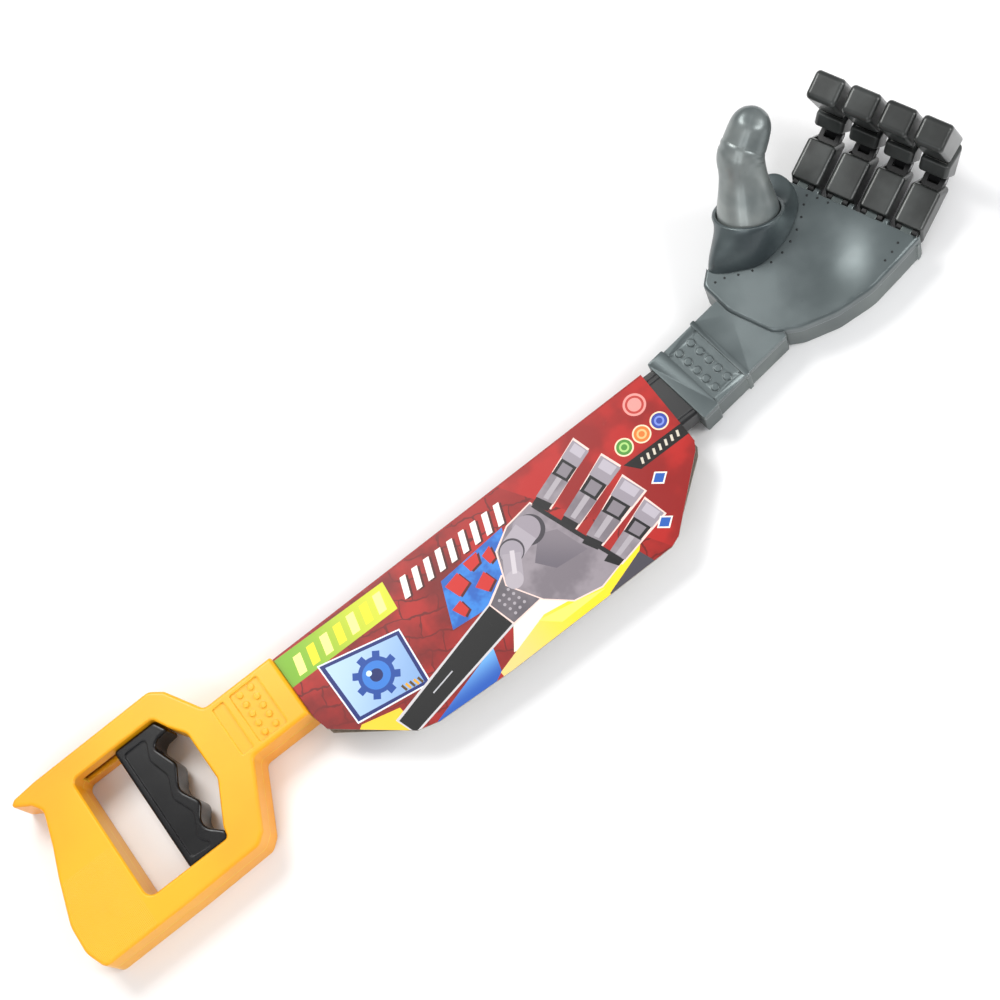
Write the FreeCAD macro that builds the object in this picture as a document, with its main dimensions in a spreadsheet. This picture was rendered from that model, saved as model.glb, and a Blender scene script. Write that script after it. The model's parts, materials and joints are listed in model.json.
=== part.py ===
import FreeCAD, Part
import math
import os
import Sketcher

V = FreeCAD.Vector
doc = FreeCAD.newDocument("trigger_hand")

# ---------------------------------------------------------------- dimensions
sheet = doc.addObject("Spreadsheet::Sheet", "Sizes")
SIZES = [
    ("origin_x", 128.0),        # the frame's origin lies under the neck, between its two panels
    ("handle_half", 13.0),      # half thickness of the handle
    ("handle_wall", 2.4),       # wall of the handle shells
    ("handle_round", 1.8),      # outer edge rounding of the handle
    ("rim_bevel", 1.0),         # bevel round the D opening
    ("stud_height", 1.0),       # height of the moulded studs
    ("stud_radius", 1.6),
    ("recess_depth", 1.0),
    ("screw_radius", 1.5),
    ("screw_head_radius", 3.0),
    ("screw_clear", 0.06),
    ("trigger_half", 9.0),      # half thickness of the trigger
    ("trigger_rear", 65.7),     # rear face of the trigger
    ("trigger_travel", 22.0),
    ("trigger_relief", 1.2),
    ("trigger_round", 1.4),
    ("tongue_half", 4.0),
    ("slide_gap", 0.3),
    ("tube_width", 33.0),
    ("tube_height", 14.4),
    ("tube_floor", 5.8),        # height of the tube's underside
    ("tube_wall", 1.6),
    ("tube_start", 135.0),
    ("tube_length", 289.0),
    ("card_start", 158.7),
    ("card_length", 234.3),
    ("card_gauge", 0.6),
    ("wrist_x", 412.0),         # the hand turns about this point of the arm
    ("hand_yaw", 7.0),
    ("palm_x", 42.0),           # palm frame, measured in the cuff frame
    ("palm_yaw", 17.0),
    ("hand_split", 18.2),       # parting plane of the hand shells
    ("palm_top", 25.0),
    ("palm_floor", 2.6),
    ("cuff_floor", 3.0),
    ("cuff_top", 22.2),
    ("dish_radius", 120.0),
    ("dish_depth", 2.2),
    ("edge_round", 2.0),
    ("socket_bore", 14.3),
    ("thumb_wall", 2.4),
    ("seg_width", 16.0),        # finger segment, outside
    ("seg_height", 15.2),
    ("seg_inner", 11.6),        # inside width of a finger shell
    ("seg_cavity", 11.0),       # inside height of a finger shell
    ("seg_round", 2.1),
    ("len_proximal", 31.0),
    ("len_middle", 22.5),
    ("len_distal", 35.0),
    ("pin_radius", 1.2),
    ("pin_clear", 0.05),
    ("eye_radius", 2.8),
    ("tongue_width", 5.6),
    ("slot_width", 6.2),
    ("fork_width", 11.4),
    ("finger_pitch", 19.5),
    ("first_finger", 11.5),     # across the palm, first finger's middle plane
    ("knuckle_u", 77.1),
    ("knuckle_z", 15.2),
    ("rest_knuckle", 10.0),
    ("rest_middle", 48.0),
    ("rest_distal", 47.0),
    ("rod_radius", 1.5),
    ("rod_length", 322.0),
    ("rod_start", 137.0),
    ("cord_radius", 0.6),
    ("spring_radius", 2.8),
    ("spring_wire", 0.45),
]
for i, (name, value) in enumerate(SIZES, 1):
    sheet.set("A%d" % i, name)
    sheet.set("B%d" % i, str(value))
    sheet.setAlias("B%d" % i, name)
doc.recompute()


def D(name):
    return float(sheet.get(name))


# ------------------------------------------------------------------- helpers
def rounded(points):
    """Edges of a closed outline; each point is (x, y) or (x, y, corner radius)."""
    n = len(points)
    p = [V(q[0], q[1], 0) for q in points]
    r = [q[2] if len(q) > 2 else 0.0 for q in points]
    ends = []
    for i in range(n):
        a, b, c = p[i - 1], p[i], p[(i + 1) % n]
        u, w = (a - b), (c - b)
        lu, lw = u.Length, w.Length
        u, w = u / lu, w / lw
        turn = math.pi - u.getAngle(w)
        if r[i] < 0.05 or turn < 0.01:
            ends.append((b, b, None))
            continue
        t = min(r[i] * math.tan(turn / 2), 0.47 * lu, 0.47 * lw)
        rad = t / math.tan(turn / 2)
        s, e = b + u * t, b + w * t
        mid = (u + w)
        mid.normalize()
        centre = b + mid * (rad / math.cos(turn / 2))
        m = centre - mid * rad
        ends.append((s, e, Part.Arc(s, m, e)))
    out = []
    for i in range(n):
        s, e, arc = ends[i]
        if arc is not None:
            out.append(arc)
        nxt = ends[(i + 1) % n][0]
        if (nxt - e).Length > 1e-6:
            out.append(Part.LineSegment(e, nxt))
    return out


def offset(points, d):
    """Outline moved inwards by d (outwards if negative); points run either way round."""
    n = len(points)
    area = sum(points[i - 1][0] * points[i][1] - points[i][0] * points[i - 1][1] for i in range(n))
    side = 1 if area > 0 else -1
    lines = []
    for i in range(n):
        a, b = points[i], points[(i + 1) % n]
        dx, dy = b[0] - a[0], b[1] - a[1]
        ln = math.hypot(dx, dy)
        nx, ny = -dy / ln * side * d, dx / ln * side * d
        lines.append((a[0] + nx, a[1] + ny, dx / ln, dy / ln))
    out = []
    for i in range(n):
        x1, y1, a1, b1 = lines[i - 1]
        x2, y2, a2, b2 = lines[i]
        den = a1 * b2 - b1 * a2
        if abs(den) < 1e-6:
            x, y = x2, y2
        else:
            t = ((x2 - x1) * b2 - (y2 - y1) * a2) / den
            x, y = x1 + a1 * t, y1 + b1 * t
        convex = (a1 * b2 - b1 * a2) * side > 0
        rad = points[i][2] if len(points[i]) > 2 else 0.0
        rad = max(rad - d, 0.6) if convex else rad + d
        out.append((x, y, max(rad, 0.6)))
    return out


def rect(x0, y0, x1, y1, r=0.0):
    return [(x0, y0, r), (x1, y0, r), (x1, y1, r), (x0, y1, r)]


def circle(x, y, r):
    return [Part.Circle(V(x, y, 0), V(0, 0, 1), r)]


def new_body(label):
    b = doc.addObject("PartDesign::Body", label)
    b.Label = label
    return b


def sketch(body, role, loops, level=None):
    s = body.newObject("Sketcher::SketchObject", body.Name + "_sketch")
    s.AttachmentSupport = (
        [o for o in body.Origin.OriginFeatures if o.Role == role][0], [""])
    s.MapMode = "FlatFace"
    if level is not None:
        if isinstance(level, str):
            s.setExpression("AttachmentOffset.Base.z", level)
        else:
            s.AttachmentOffset = FreeCAD.Placement(V(0, 0, level), FreeCAD.Rotation())
    for loop in loops:
        geometry = loop if hasattr(loop[0], "toShape") else rounded(loop)
        for g in geometry:
            s.addGeometry(g, False)
    for i, g in enumerate(s.Geometry):
        if isinstance(g, Part.Circle):
            s.addConstraint(Sketcher.Constraint("Radius", i, g.Radius))
    doc.recompute()
    return s


def feature(body, kind, sk, length, reverse=False, middle=False, through=False, taper=None):
    f = body.newObject("PartDesign::" + kind, body.Name + "_" + kind.lower())
    f.Profile = sk
    if isinstance(length, str):
        f.setExpression("Length", length)
    else:
        f.Length = length
    if through:
        f.Type = "ThroughAll"
    if middle:
        f.SideType = "Symmetric"
    f.Reversed = reverse
    if taper:
        f.TaperAngle = taper
    doc.recompute()
    return f


def pad(body, role, loops, length, level=None, **kw):
    return feature(body, "Pad", sketch(body, role, loops, level), length, **kw)


def pocket(body, role, loops, length, level=None, **kw):
    before = body.Shape.Volume
    f = feature(body, "Pocket", sketch(body, role, loops, level), length, **kw)
    if body.Shape.Volume > before - 0.01:
        raise RuntimeError("pocket cuts nothing: %s %s %s" % (f.Name, f.State, f.getStatusString()))
    return f


def edge_names(shape, test):
    return ["Edge%d" % (i + 1) for i, e in enumerate(shape.Edges) if test(e)]


def dress(body, kind, test, size):
    names = edge_names(body.Shape, test)
    f = body.newObject("PartDesign::" + kind, body.Name + "_" + kind.lower())
    f.Base = (body.Tip if body.Tip != f else f.BaseFeature, names)
    f.setExpression("Radius" if kind == "Fillet" else "Size", size)
    doc.recompute()
    return f


def at_level(e, z, tol=1e-3):
    b = e.BoundBox
    return abs(b.ZMin - z) < tol and abs(b.ZMax - z) < tol


def free(label, shape, placement=None):
    o = doc.addObject("Part::Feature", label)
    o.Label = label
    o.Shape = shape
    if placement is not None:
        o.Placement = placement
    return o


PARTS = []

# -------------------------------------------------------------------- handle
OUTER = [
    (7.6, 39.4, 1.4), (11.0, 41.9, 1.5), (24.4, 43.0, 25), (98.0, 43.8, 6), (104.8, 38.6, 4),
    (116.6, 18.2, 4), (158.5, 18.2, 0.8), (158.5, -18.2, 0.8), (123.4, -18.2, 4),
    (106.6, -51.8, 4), (101.0, -56.4, 6), (60.0, -57.6, 40), (4.6, -58.0, 4.5), (0.0, -46.0, 14),
    (0.6, -30.0, 20), (8.6, -6.0, 30), (14.6, 9.0, 30), (20.6, 27.5, 6), (16.8, 33.4, 3),
]
OPENING = [
    (41.0, 30.8, 4), (41.0, -43.4, 5), (90.2, -43.4, 2.5), (91.4, -37.5, 4), (102.5, -15.8, 6),
    (102.5, 12.9, 6), (96.3, 21.9, 3), (91.7, 30.8, 3),
]
BOSSES = [(31.0, 38.2), (19.5, -5.0), (12.0, -50.5), (96.5, -50.2), (109.3, 21.0), (113.0, -24.5)]
STUDS = [(142.2, 11.8), (142.2, 5.9), (142.2, 0.2), (142.2, -5.4), (142.2, -11.4),
         (135.3, 11.7), (135.3, 5.8), (135.3, 0.1), (135.3, -5.7), (135.3, -11.6)]


def handle_shell(label, m):
    """One half of the D handle; m mirrors the outline for the half that lies underneath."""
    def flip(points):
        return [(q[0], q[1] * m) + tuple(q[2:]) for q in points]

    half, wall = D("handle_half"), D("handle_wall")
    b = new_body(label)
    pad(b, "XY_Plane", [flip(OUTER), flip(OPENING)], "Sizes.handle_half")
    top_outer = lambda e: at_level(e, half) and not (
        39 < e.BoundBox.XMin and e.BoundBox.XMax < 104 and abs(e.BoundBox.Center.y * m + 5) < 39.5)
    dress(b, "Fillet", top_outer, "Sizes.handle_round")
    inner = lambda e: at_level(e, half) and 40.5 < e.BoundBox.XMin and e.BoundBox.XMax < 103 and (
        -44 < e.BoundBox.YMin * m < 31.2 and -44 < e.BoundBox.YMax * m < 31.2)
    dress(b, "Chamfer", inner, "Sizes.rim_bevel")
    neck = [(q if q[0] < 150 else (133.0, q[1], 1.0)) for q in OUTER[2:18]]
    cavity = [flip(offset(neck, wall)), flip(offset(OPENING, -wall))]
    pocket(b, "XY_Plane", cavity, "Sizes.handle_half - Sizes.handle_wall", reverse=True)
    pad(b, "XY_Plane", [circle(x, y * m, 3.4) for x, y in BOSSES], "Sizes.handle_half - 1")
    # seat of the tube and the slots that the trigger's tongues run in
    seat = D("tube_floor") if m < 0 else 20.6
    seat_depth = abs(seat - half)
    pocket(b, "XY_Plane", [rect(130.0, -16.5, 160.0, 16.5)], seat_depth, reverse=True)
    gap = D("slide_gap")
    x0, x1 = D("trigger_rear") + 1.3 - D("trigger_travel") - gap - 0.4, D("trigger_rear") + 20.3 + gap
    pocket(b, "XY_Plane", [flip(rect(x0, 30.0, x1, 34.0)), flip(rect(x0, -46.6, x1, -42.6))],
           "Sizes.tongue_half + Sizes.slide_gap", reverse=True)
    # neck: two sunk panels, the second with rows of studs
    pocket(b, "XY_Plane", [flip(rect(119.5, -14.6, 126.6, 14.6, 1.2)), flip(rect(130.4, -14.8, 147.6, 14.8, 1.2))],
           "Sizes.recess_depth", level="Sizes.handle_half")
    pad(b, "XY_Plane", [circle(x, y * m, D("stud_radius")) for x, y in STUDS], "Sizes.stud_height",
        level="Sizes.handle_half - Sizes.recess_depth")
    hole = D("screw_radius") + D("screw_clear")
    if m > 0:
        pocket(b, "XY_Plane", [circle(x, y, hole) for x, y in BOSSES], 8.0, reverse=True)
        b.setExpression("Placement.Base.z", "Sizes.handle_half")
    else:
        pocket(b, "XY_Plane", [circle(x, y * m, hole) for x, y in BOSSES], "Sizes.handle_half",
               reverse=True, through=True)
        pocket(b, "XY_Plane", [circle(x, y * m, D("screw_head_radius") + 0.15) for x, y in BOSSES], 3.0,
               level="Sizes.handle_half")
        b.Placement = FreeCAD.Placement(V(0, 0, half), FreeCAD.Rotation(V(1, 0, 0), 180))
        b.setExpression("Placement.Base.z", "Sizes.handle_half")
    return b


PARTS.append(handle_shell("handle_front_shell", 1))
PARTS.append(handle_shell("handle_back_shell", -1))


def screws(label, places, head_z, length, cross=True):
    """Pan-head screws put in from underneath; places are (x, y)."""
    shapes = []
    r, hr = D("screw_radius"), D("screw_head_radius")
    for x, y in places:
        s = Part.makeCylinder(hr, 2.0, V(x, y, head_z)).fuse(
            Part.makeCylinder(r, length, V(x, y, head_z + 1.9)))
        if cross:
            for a in (0, 90):
                box = Part.makeBox(3.4, 0.8, 1.0, V(-1.7, -0.4, 0))
                box.Placement = FreeCAD.Placement(V(x, y, head_z - 0.1), FreeCAD.Rotation(V(0, 0, 1), a))
                s = s.cut(box)
        shapes.append(s.removeSplitter())
    return free(label, Part.makeCompound(shapes))


PARTS.append(screws("handle_screws", BOSSES, 1.0, 16.0))

# ------------------------------------------------------------------- trigger
TR = D("trigger_rear")
TRIGGER = [
    (TR, 30.5, 2), (TR, -43.1, 2), (89.6, -43.1, 2.0), (91.0, -38.6, 2.5), (81.0, -28.8, 7), (88.9, -18.6, 4.5),
    (82.6, -6.6, 7), (89.2, 5.2, 4.5), (84.2, 19.0, 5), (88.4, 21.6, 2), (95.2, 22.2, 1.2), (91.0, 30.5, 1.5),
]
RELIEF = [
    (TR + 3.5, 26.0, 2), (TR + 3.5, -39.0, 2), (TR + 17.0, -40.2, 1.5), (TR + 11.5, -33.0, 3), (TR + 17.0, -20.5, 4),
    (TR + 12.0, -8.5, 5), (TR + 16.5, 3.0, 4), (TR + 13.0, 15.0, 4), (TR + 17.5, 26.0, 2),
]
trigger = new_body("trigger")
pad(trigger, "XY_Plane", [TRIGGER], "2 * Sizes.trigger_half", middle=True)
dress(trigger, "Fillet",
      lambda e: (at_level(e, D("trigger_half")) or at_level(e, -D("trigger_half"))),
      "Sizes.trigger_round")
pocket(trigger, "XY_Plane", [RELIEF], "Sizes.trigger_relief", level="Sizes.trigger_half")
pocket(trigger, "XY_Plane", [RELIEF], 12.0, level="-Sizes.trigger_half", reverse=True)
pad(trigger, "XY_Plane", [rect(TR + 1.3, 29.0, TR + 20.3, 38.4, 1)], "2 * Sizes.tongue_half", middle=True)
pad(trigger, "XY_Plane", [rect(TR + 1.3, -51.0, TR + 20.3, -41.6, 1)], "2 * Sizes.tongue_half", middle=True)
trigger.setExpression("Placement.Base.z", "Sizes.handle_half")
PARTS.append(trigger)


def coil(label, x0, x1, y, turns):
    """Compression spring that lies along the handle's rail behind a trigger tongue."""
    r, w = D("spring_radius"), D("spring_wire")
    length = x1 - x0 - 2 * w
    helix = Part.makeHelix(length / turns, length, r)
    ring = Part.Wire([Part.makeCircle(w, V(r, 0, 0), V(0, 1, 0.15))])
    solid = Part.Wire(helix.Edges).makePipeShell([ring], True, True)
    return free(label, solid, FreeCAD.Placement(V(x0 + w, y, D("handle_half")), FreeCAD.Rotation(V(0, 1, 0), 90)))


PARTS.append(coil("return_spring_upper", 36.0, TR + 1.3, 37.0, 9))
PARTS.append(coil("return_spring_lower", 17.0, TR + 1.3, -49.6, 14))


def cord(label, routes):
    """Thin cord laid as straight runs with round joints."""
    r = D("cord_radius")
    shapes = []
    for route in routes:
        s = None
        for a, b in zip(route, route[1:]):
            a, b = V(*a), V(*b)
            run = Part.makeCylinder(r, (b - a).Length, a, b - a)
            s = run if s is None else s.fuse(run)
        for q in route[1:-1]:
            s = s.fuse(Part.makeSphere(r * 1.3, V(*q)))
        shapes.append(s)
    return free(label, Part.makeCompound(shapes))


ZM = D("handle_half")
ROLLERS = [(100.1, 34.5), (109.4, 8.0)]
roller_shapes = []
for x, y in ROLLERS:
    body_ = Part.makeCylinder(2.6, 6.0, V(x, y, ZM - 3)).cut(
        Part.makeTorus(2.9, 0.95, V(x, y, ZM), V(0, 0, 1)))
    body_ = body_.fuse(Part.makeCylinder(1.2, 2 * (ZM - D("handle_wall")), V(x, y, D("handle_wall"))))
    roller_shapes.append(body_)
PARTS.append(free("cord_rollers", Part.makeCompound(roller_shapes)))


def wrapped(label, start, stops, end):
    """Cord pulled tight round pulleys; stops are (centre, radius, sense), with sense 1 for anticlockwise."""
    def heading(a, b, k):
        dx, dy = b[0] - a[0], b[1] - a[1]
        return math.atan2(dy, dx) - math.asin(k / math.hypot(dx, dy))

    turns = [(start, 0.0, 1)] + stops + [(end, 0.0, 1)]
    headings = [heading(a[0], b[0], b[1] * b[2] - a[1] * a[2]) for a, b in zip(turns, turns[1:])]

    def leave(stop, th):
        (cx, cy), rad, sense = stop
        return V(cx + sense * rad * math.sin(th), cy - sense * rad * math.cos(th), ZM)

    edges = []
    for i, (a, b) in enumerate(zip(turns, turns[1:])):
        edges.append(Part.makeLine(leave(a, headings[i]), leave(b, headings[i])))
        if i < len(headings) - 1:
            half = (headings[i] + headings[i + 1]) / 2
            edges.append(Part.Arc(leave(b, headings[i]), leave(b, half), leave(b, headings[i + 1])).toShape())
    path = Part.Wire(edges)
    along = V(math.cos(headings[0]), math.sin(headings[0]), 0)
    ring = Part.Wire([Part.makeCircle(D("cord_radius"), V(start[0], start[1], ZM), along)])
    return free(label, path.makePipeShell([ring], True, True))


PARTS.append(wrapped("trigger_cord", (TR + 20.8, 36.4), [(ROLLERS[0], 2.6, -1), (ROLLERS[1], 2.6, 1)],
                     (D("rod_start") - 0.5, 0.0)))

# ----------------------------------------------------------------- arm tube
tube = new_body("arm_tube")
tw, th = D("tube_width") / 2, D("tube_height")
section = [(-tw, 0, 1.5), (tw, 0, 1.5), (tw, th, 1.5), (13.9, th), (13.9, th + 0.4), (13.1, th + 0.4), (13.1, th),
           (11.4, th), (11.4, th + 0.4), (10.6, th + 0.4), (10.6, th), (-12.6, th), (-12.6, th + 0.4),
           (-13.4, th + 0.4), (-13.4, th), (-tw, th, 1.5)]
tww = D("tube_wall")
pad(tube, "YZ_Plane", [section, rect(-tw + tww, tww, tw - tww, th - tww, 0.8)], "Sizes.tube_length")
tube.setExpression("Placement.Base.x", "Sizes.tube_start - Sizes.origin_x")
tube.setExpression("Placement.Base.z", "Sizes.tube_floor")
PARTS.append(tube)

# folded card: front panel, fold along the upper edge and a back panel glued to the flap
card = new_body("card_sleeve")
CARD = [(17.6, 4.9), (17.6, 21.5), (-63.8, 21.5), (-63.8, 20.3), (-54.0, 20.3), (-17.8, 4.9)]
INNER_CARD = [(17.0, 5.5), (17.0, 20.9), (-53.2, 20.9), (-17.6, 5.5)]
pad(card, "YZ_Plane", [CARD, INNER_CARD], "Sizes.card_length")
pocket(card, "XY_Plane", [
    [(-5, -18.4), (-0.4, -18.4), (2.2, -29.2), (37.9, -58.3), (49.7, -61.6), (96.0, -63.9), (96, -80), (-5, -80)],
    [(240, -20.0), (234.4, -27.1), (231.6, -31.7), (198.5, -61.4), (192.0, -64.0), (192.0, -80), (240, -80)]],
    40.0, level=40.0)
card.setExpression("Placement.Base.x", "Sizes.card_start - Sizes.origin_x")
PARTS.append(card)

# --------------------------------------------------------------------- hand
HAND = FreeCAD.Placement(V(D("wrist_x"), 0, 0), FreeCAD.Rotation(V(0, 0, 1), D("hand_yaw")))
PALM_IN_HAND = FreeCAD.Placement(V(D("palm_x"), 0, 0), FreeCAD.Rotation(V(0, 0, 1), D("palm_yaw")))
PALM = HAND.multiply(PALM_IN_HAND)


def to_hand(points):
    out = []
    for q in points:
        p = PALM_IN_HAND.multVec(V(q[0], q[1], 0))
        out.append((p.x, p.y) + tuple(q[2:]))
    return out


# palm outline in the palm frame: heel, little-finger side, knuckle line, thumb side
PALM_LINE = [
    (-2.0, 12.0, 10), (-2.0, -14.0, 8), (6.0, -25.5, 14), (21.0, -38.0, 20), (39.0, -47.6, 30), (57.0, -52.4, 40),
    (74.0, -56.6, 2.5), (75.6, -54.0, 1.5), (75.6, 24.5, 3), (67.0, 33.0, 8), (52.0, 38.0, 14), (30.0, 37.6, 12),
    (14.0, 33.0, 6), (4.0, 29.5, 4),
]
FINGERS = [D("first_finger") - i * D("finger_pitch") for i in range(4)]
HAND_BOSSES = [(11.0, 21.5), (9.0, -17.5), (40.0, -38.5), (64.0, 1.5), (66.5, -39.0)]
CUFF_BOSSES = [(27.0, 12.6), (27.0, -12.6)]
split, ptop = D("hand_split"), D("palm_top")


def yaw(b):
    b.setExpression("Placement.Base.x", "Sizes.wrist_x - Sizes.origin_x")
    b.Placement = HAND


back = new_body("palm_back_body")
pad(back, "XY_Plane", [to_hand(PALM_LINE)], "Sizes.hand_split")
dress(back, "Fillet", lambda e: at_level(e, 0), "Sizes.edge_round")
pad(back, "XY_Plane", [rect(-11.0, -19.6, 48.0, 19.6, 1.5)], "Sizes.hand_split - Sizes.cuff_floor", level="Sizes.cuff_floor")
pad(back, "XY_Plane", [rect(-11.0, -20.6, -0.8, 20.6, 1.0), rect(18.6, -20.4, 21.4, 20.4, 0.8)],
    "Sizes.hand_split - Sizes.cuff_floor + 0.6", level="Sizes.cuff_floor - 0.6")
hollow = [to_hand(offset(PALM_LINE, 2.6))]
pocket(back, "XY_Plane", hollow, "Sizes.hand_split - Sizes.palm_floor", level="Sizes.hand_split")
# channel of the cuff: the tube's seat, then the way through to the palm
SEAT = [(-14.0, -14.9), (12.8, -18.2), (12.8, 15.05), (-14.0, 18.35)]
pocket(back, "XY_Plane", [SEAT],
       "Sizes.hand_split - Sizes.tube_floor", level="Sizes.hand_split")
pocket(back, "XY_Plane", [rect(12.0, -16.4, 50.0, 16.4, 1.0)],
       "Sizes.hand_split - Sizes.cuff_floor - 2", level="Sizes.hand_split")
# notches in the knuckle edge and the four lugs that carry the fingers
notches = [to_hand(rect(72.5, v - 8.5, 90.0, v + 8.5)) for v in FINGERS]
pocket(back, "XY_Plane", notches, 30.0, level="Sizes.hand_split + 5")
wall_fill = [to_hand(rect(70.2, v - 9.4, 72.5, v + 9.4)) for v in FINGERS]
pad(back, "XY_Plane", wall_fill, "Sizes.hand_split - 1", level=1.0)

# lugs in the knuckle wall, one in the middle of each finger
lug_z, lug_u = D("knuckle_z"), D("knuckle_u")
eye, hole = D("eye_radius"), D("pin_radius") + D("pin_clear")
lugs = None
for v in FINGERS:
    w = D("tongue_width")
    s = Part.makeBox(lug_u - 70.4, w, 2 * eye, V(70.4, v - w / 2, lug_z - eye)).fuse(
        Part.makeCylinder(eye, w, V(lug_u, v - w / 2, lug_z), V(0, 1, 0)))
    s = s.cut(Part.makeCylinder(hole, w + 2, V(lug_u, v - w / 2 - 1, lug_z), V(0, 1, 0))).removeSplitter()
    lugs = s if lugs is None else lugs.fuse(s)
lug_part = free("knuckle_lugs", lugs.transformGeometry(PALM_IN_HAND.toMatrix()))
screw_places = to_hand(HAND_BOSSES) + CUFF_BOSSES
clear = D("screw_radius") + D("screw_clear")
bosses, bores = [], []
for n, p in enumerate(screw_places):
    z0 = 2.0 if n < len(HAND_BOSSES) else 4.0
    bosses.append(Part.makeCylinder(3.4, split - z0, V(p[0], p[1], z0)))
    bores.append(Part.makeCylinder(clear, 40.0, V(p[0], p[1], -5.0)).fuse(
        Part.makeCylinder(D("screw_head_radius") + 0.15, 8.0, V(p[0], p[1], -5.0))))
boss_part = free("screw_bosses", Part.makeCompound(bosses))
bore_part = free("screw_bores", Part.makeCompound(bores))
joined = doc.addObject("Part::MultiFuse", "palm_back_joined")
joined.Shapes = [back, lug_part, boss_part]
joined.Refine = True
palm_back = doc.addObject("Part::Cut", "palm_back_shell")
palm_back.Base = joined
palm_back.Tool = bore_part
doc.recompute()
yaw(palm_back)
PARTS.append(palm_back)

pins = [Part.makeCylinder(D("pin_radius"), D("fork_width"), V(lug_u, v - D("fork_width") / 2, lug_z), V(0, 1, 0))
        for v in FINGERS]
PARTS.append(free("knuckle_pins", Part.makeCompound(pins), PALM))

# front face plate of the palm with the cover of the cuff
front = new_body("palm_front_body")
pad(front, "XY_Plane", [to_hand(PALM_LINE)], "Sizes.palm_top - Sizes.hand_split", level="Sizes.hand_split")
dress(front, "Fillet", lambda e: at_level(e, ptop), "Sizes.edge_round")
pad(front, "XY_Plane", [rect(-11.0, -19.6, 48.0, 19.6, 1.5)], "Sizes.cuff_top - Sizes.hand_split", level="Sizes.hand_split")
pad(front, "XY_Plane", [rect(-11.0, -20.6, -0.8, 20.6, 1.0), rect(18.6, -20.4, 21.4, 20.4, 0.8)],
    "Sizes.cuff_top - Sizes.hand_split + 1.1", level="Sizes.hand_split")
pocket(front, "XY_Plane", [rect(-0.8, -16.6, 18.6, 16.6, 1.0)], 0.6, level="Sizes.cuff_top")
CUFF_STUDS = [(12.4, y) for y in (-13.0, -6.5, 0.0, 6.5, 13.0)] + [(4.4, y) for y in (-12.6, -6.1, 0.4, 6.9, 13.2)]
pad(front, "XY_Plane", [circle(x, y, 2.2) for x, y in CUFF_STUDS], "Sizes.stud_height", level="Sizes.cuff_top - 0.6")
dress(front, "Fillet", lambda e: at_level(e, D("cuff_top") + 0.4) and e.Length < 20 and e.BoundBox.XLength < 6,
      "Sizes.stud_height * 0.55")
pocket(front, "XY_Plane", [SEAT], 20.6 - split, level="Sizes.hand_split", reverse=True)
pocket(front, "XY_Plane", notches, 30.0, level="Sizes.palm_top + 5")
corner = PALM_LINE[:6] + [(75.6, -57.0, 2.5)] + PALM_LINE[8:]
inside = [to_hand(offset(corner, 4.6))]
pocket(front, "XY_Plane", inside, 1.4, level="Sizes.hand_split", reverse=True)
pocket(front, "XY_Plane", [circle(p[0], p[1], clear) for p in screw_places], 2.2, level="Sizes.hand_split", reverse=True)

# socket of the thumb: a raised collar on the thumb side of the palm
T0, T1, T2 = V(45.0, 24.0, 34.0), V(62.0, 34.5, 61.0), V(76.0, 34.5, 72.0)
t_axis = (T1 - T0).normalize()
MOUND = [(12.6, 30.6), (13.6, 24.5), (18.0, 18.0), (25.2, 9.6), (34.6, 5.2), (45.0, 3.4), (55.8, 4.2), (64.8, 7.4),
         (70.4, 12.6), (73.6, 19.5), (73.2, 25.8), (68.0, 31.2), (60.0, 34.6), (50.0, 36.6), (36.0, 36.8), (22.0, 34.8)]


def closed_curve(points):
    c = Part.BSplineCurve()
    c.interpolate(Points=[V(*p) for p in points], PeriodicFlag=True)
    return Part.Wire([c.toShape()])


low = closed_curve([(x, y, split) for x, y in MOUND])
base = Part.Face(low).extrude(V(0, 0, ptop - split + 0.4))
# rim ring, its points set out by the same bearings as the outline
rim = []
side = t_axis.cross(V(0, 0, 1)).normalize()
upv = side.cross(t_axis)
for x, y in MOUND:
    d = V(x - T0.x, y - T0.y, 0)
    a = math.atan2(d.dot(side), d.dot(V(t_axis.x, t_axis.y, 0).normalize()) * 1.0)
    q = T0 + t_axis * 2.4 + (side * math.sin(a) - upv * math.cos(a)) * 16.8
    rim.append((q.x, q.y, q.z))
top = closed_curve([(x, y, ptop + 0.4) for x, y in MOUND])
mid = closed_curve([((x * 0.62 + r[0] * 0.38), (y * 0.62 + r[1] * 0.38), (ptop + 0.4) * 0.34 + r[2] * 0.66)
                    for (x, y), r in zip(MOUND, rim)])
collar = Part.makeLoft([low, top, mid, closed_curve(rim)], True, True)
bore = Part.makeCylinder(D("socket_bore"), 40, T0 - t_axis * 8.0, t_axis)
socket = collar.cut(bore)
socket = max(socket.Solids, key=lambda s: s.Volume)
PARTS.append(free("thumb_socket", socket, PALM))
clear_edge = Part.makeBox(66.0, 20.0, ptop - split + 0.4, V(13.4, 28.5, split))
clear_corner = Part.makeBox(14.0, 10.0, ptop - split + 0.4, V(66.0, 19.6, split))
base_tool = free("socket_footprint", base.fuse([clear_edge, clear_corner]).transformGeometry(PALM_IN_HAND.toMatrix()))
dish = doc.addObject("Part::Sphere", "palm_dish")
dish.setExpression("Radius", "Sizes.dish_radius")
c = PALM_IN_HAND.multVec(V(40.0, -21.5, 0))
dish.Placement = FreeCAD.Placement(V(c.x, c.y, ptop + D("dish_radius") - D("dish_depth")), FreeCAD.Rotation())
cutters = doc.addObject("Part::MultiFuse", "front_cutters")
cutters.Shapes = [base_tool, dish]
palm_front = doc.addObject("Part::Cut", "palm_front_shell")
palm_front.Base = front
palm_front.Tool = cutters
doc.recompute()
yaw(palm_front)
PARTS.append(palm_front)

hand_screws = screws("hand_screws", [(p[0], p[1]) for p in screw_places], 1.0, 17.0)
PARTS.append(hand_screws)
hand_screws.Placement = HAND

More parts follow.
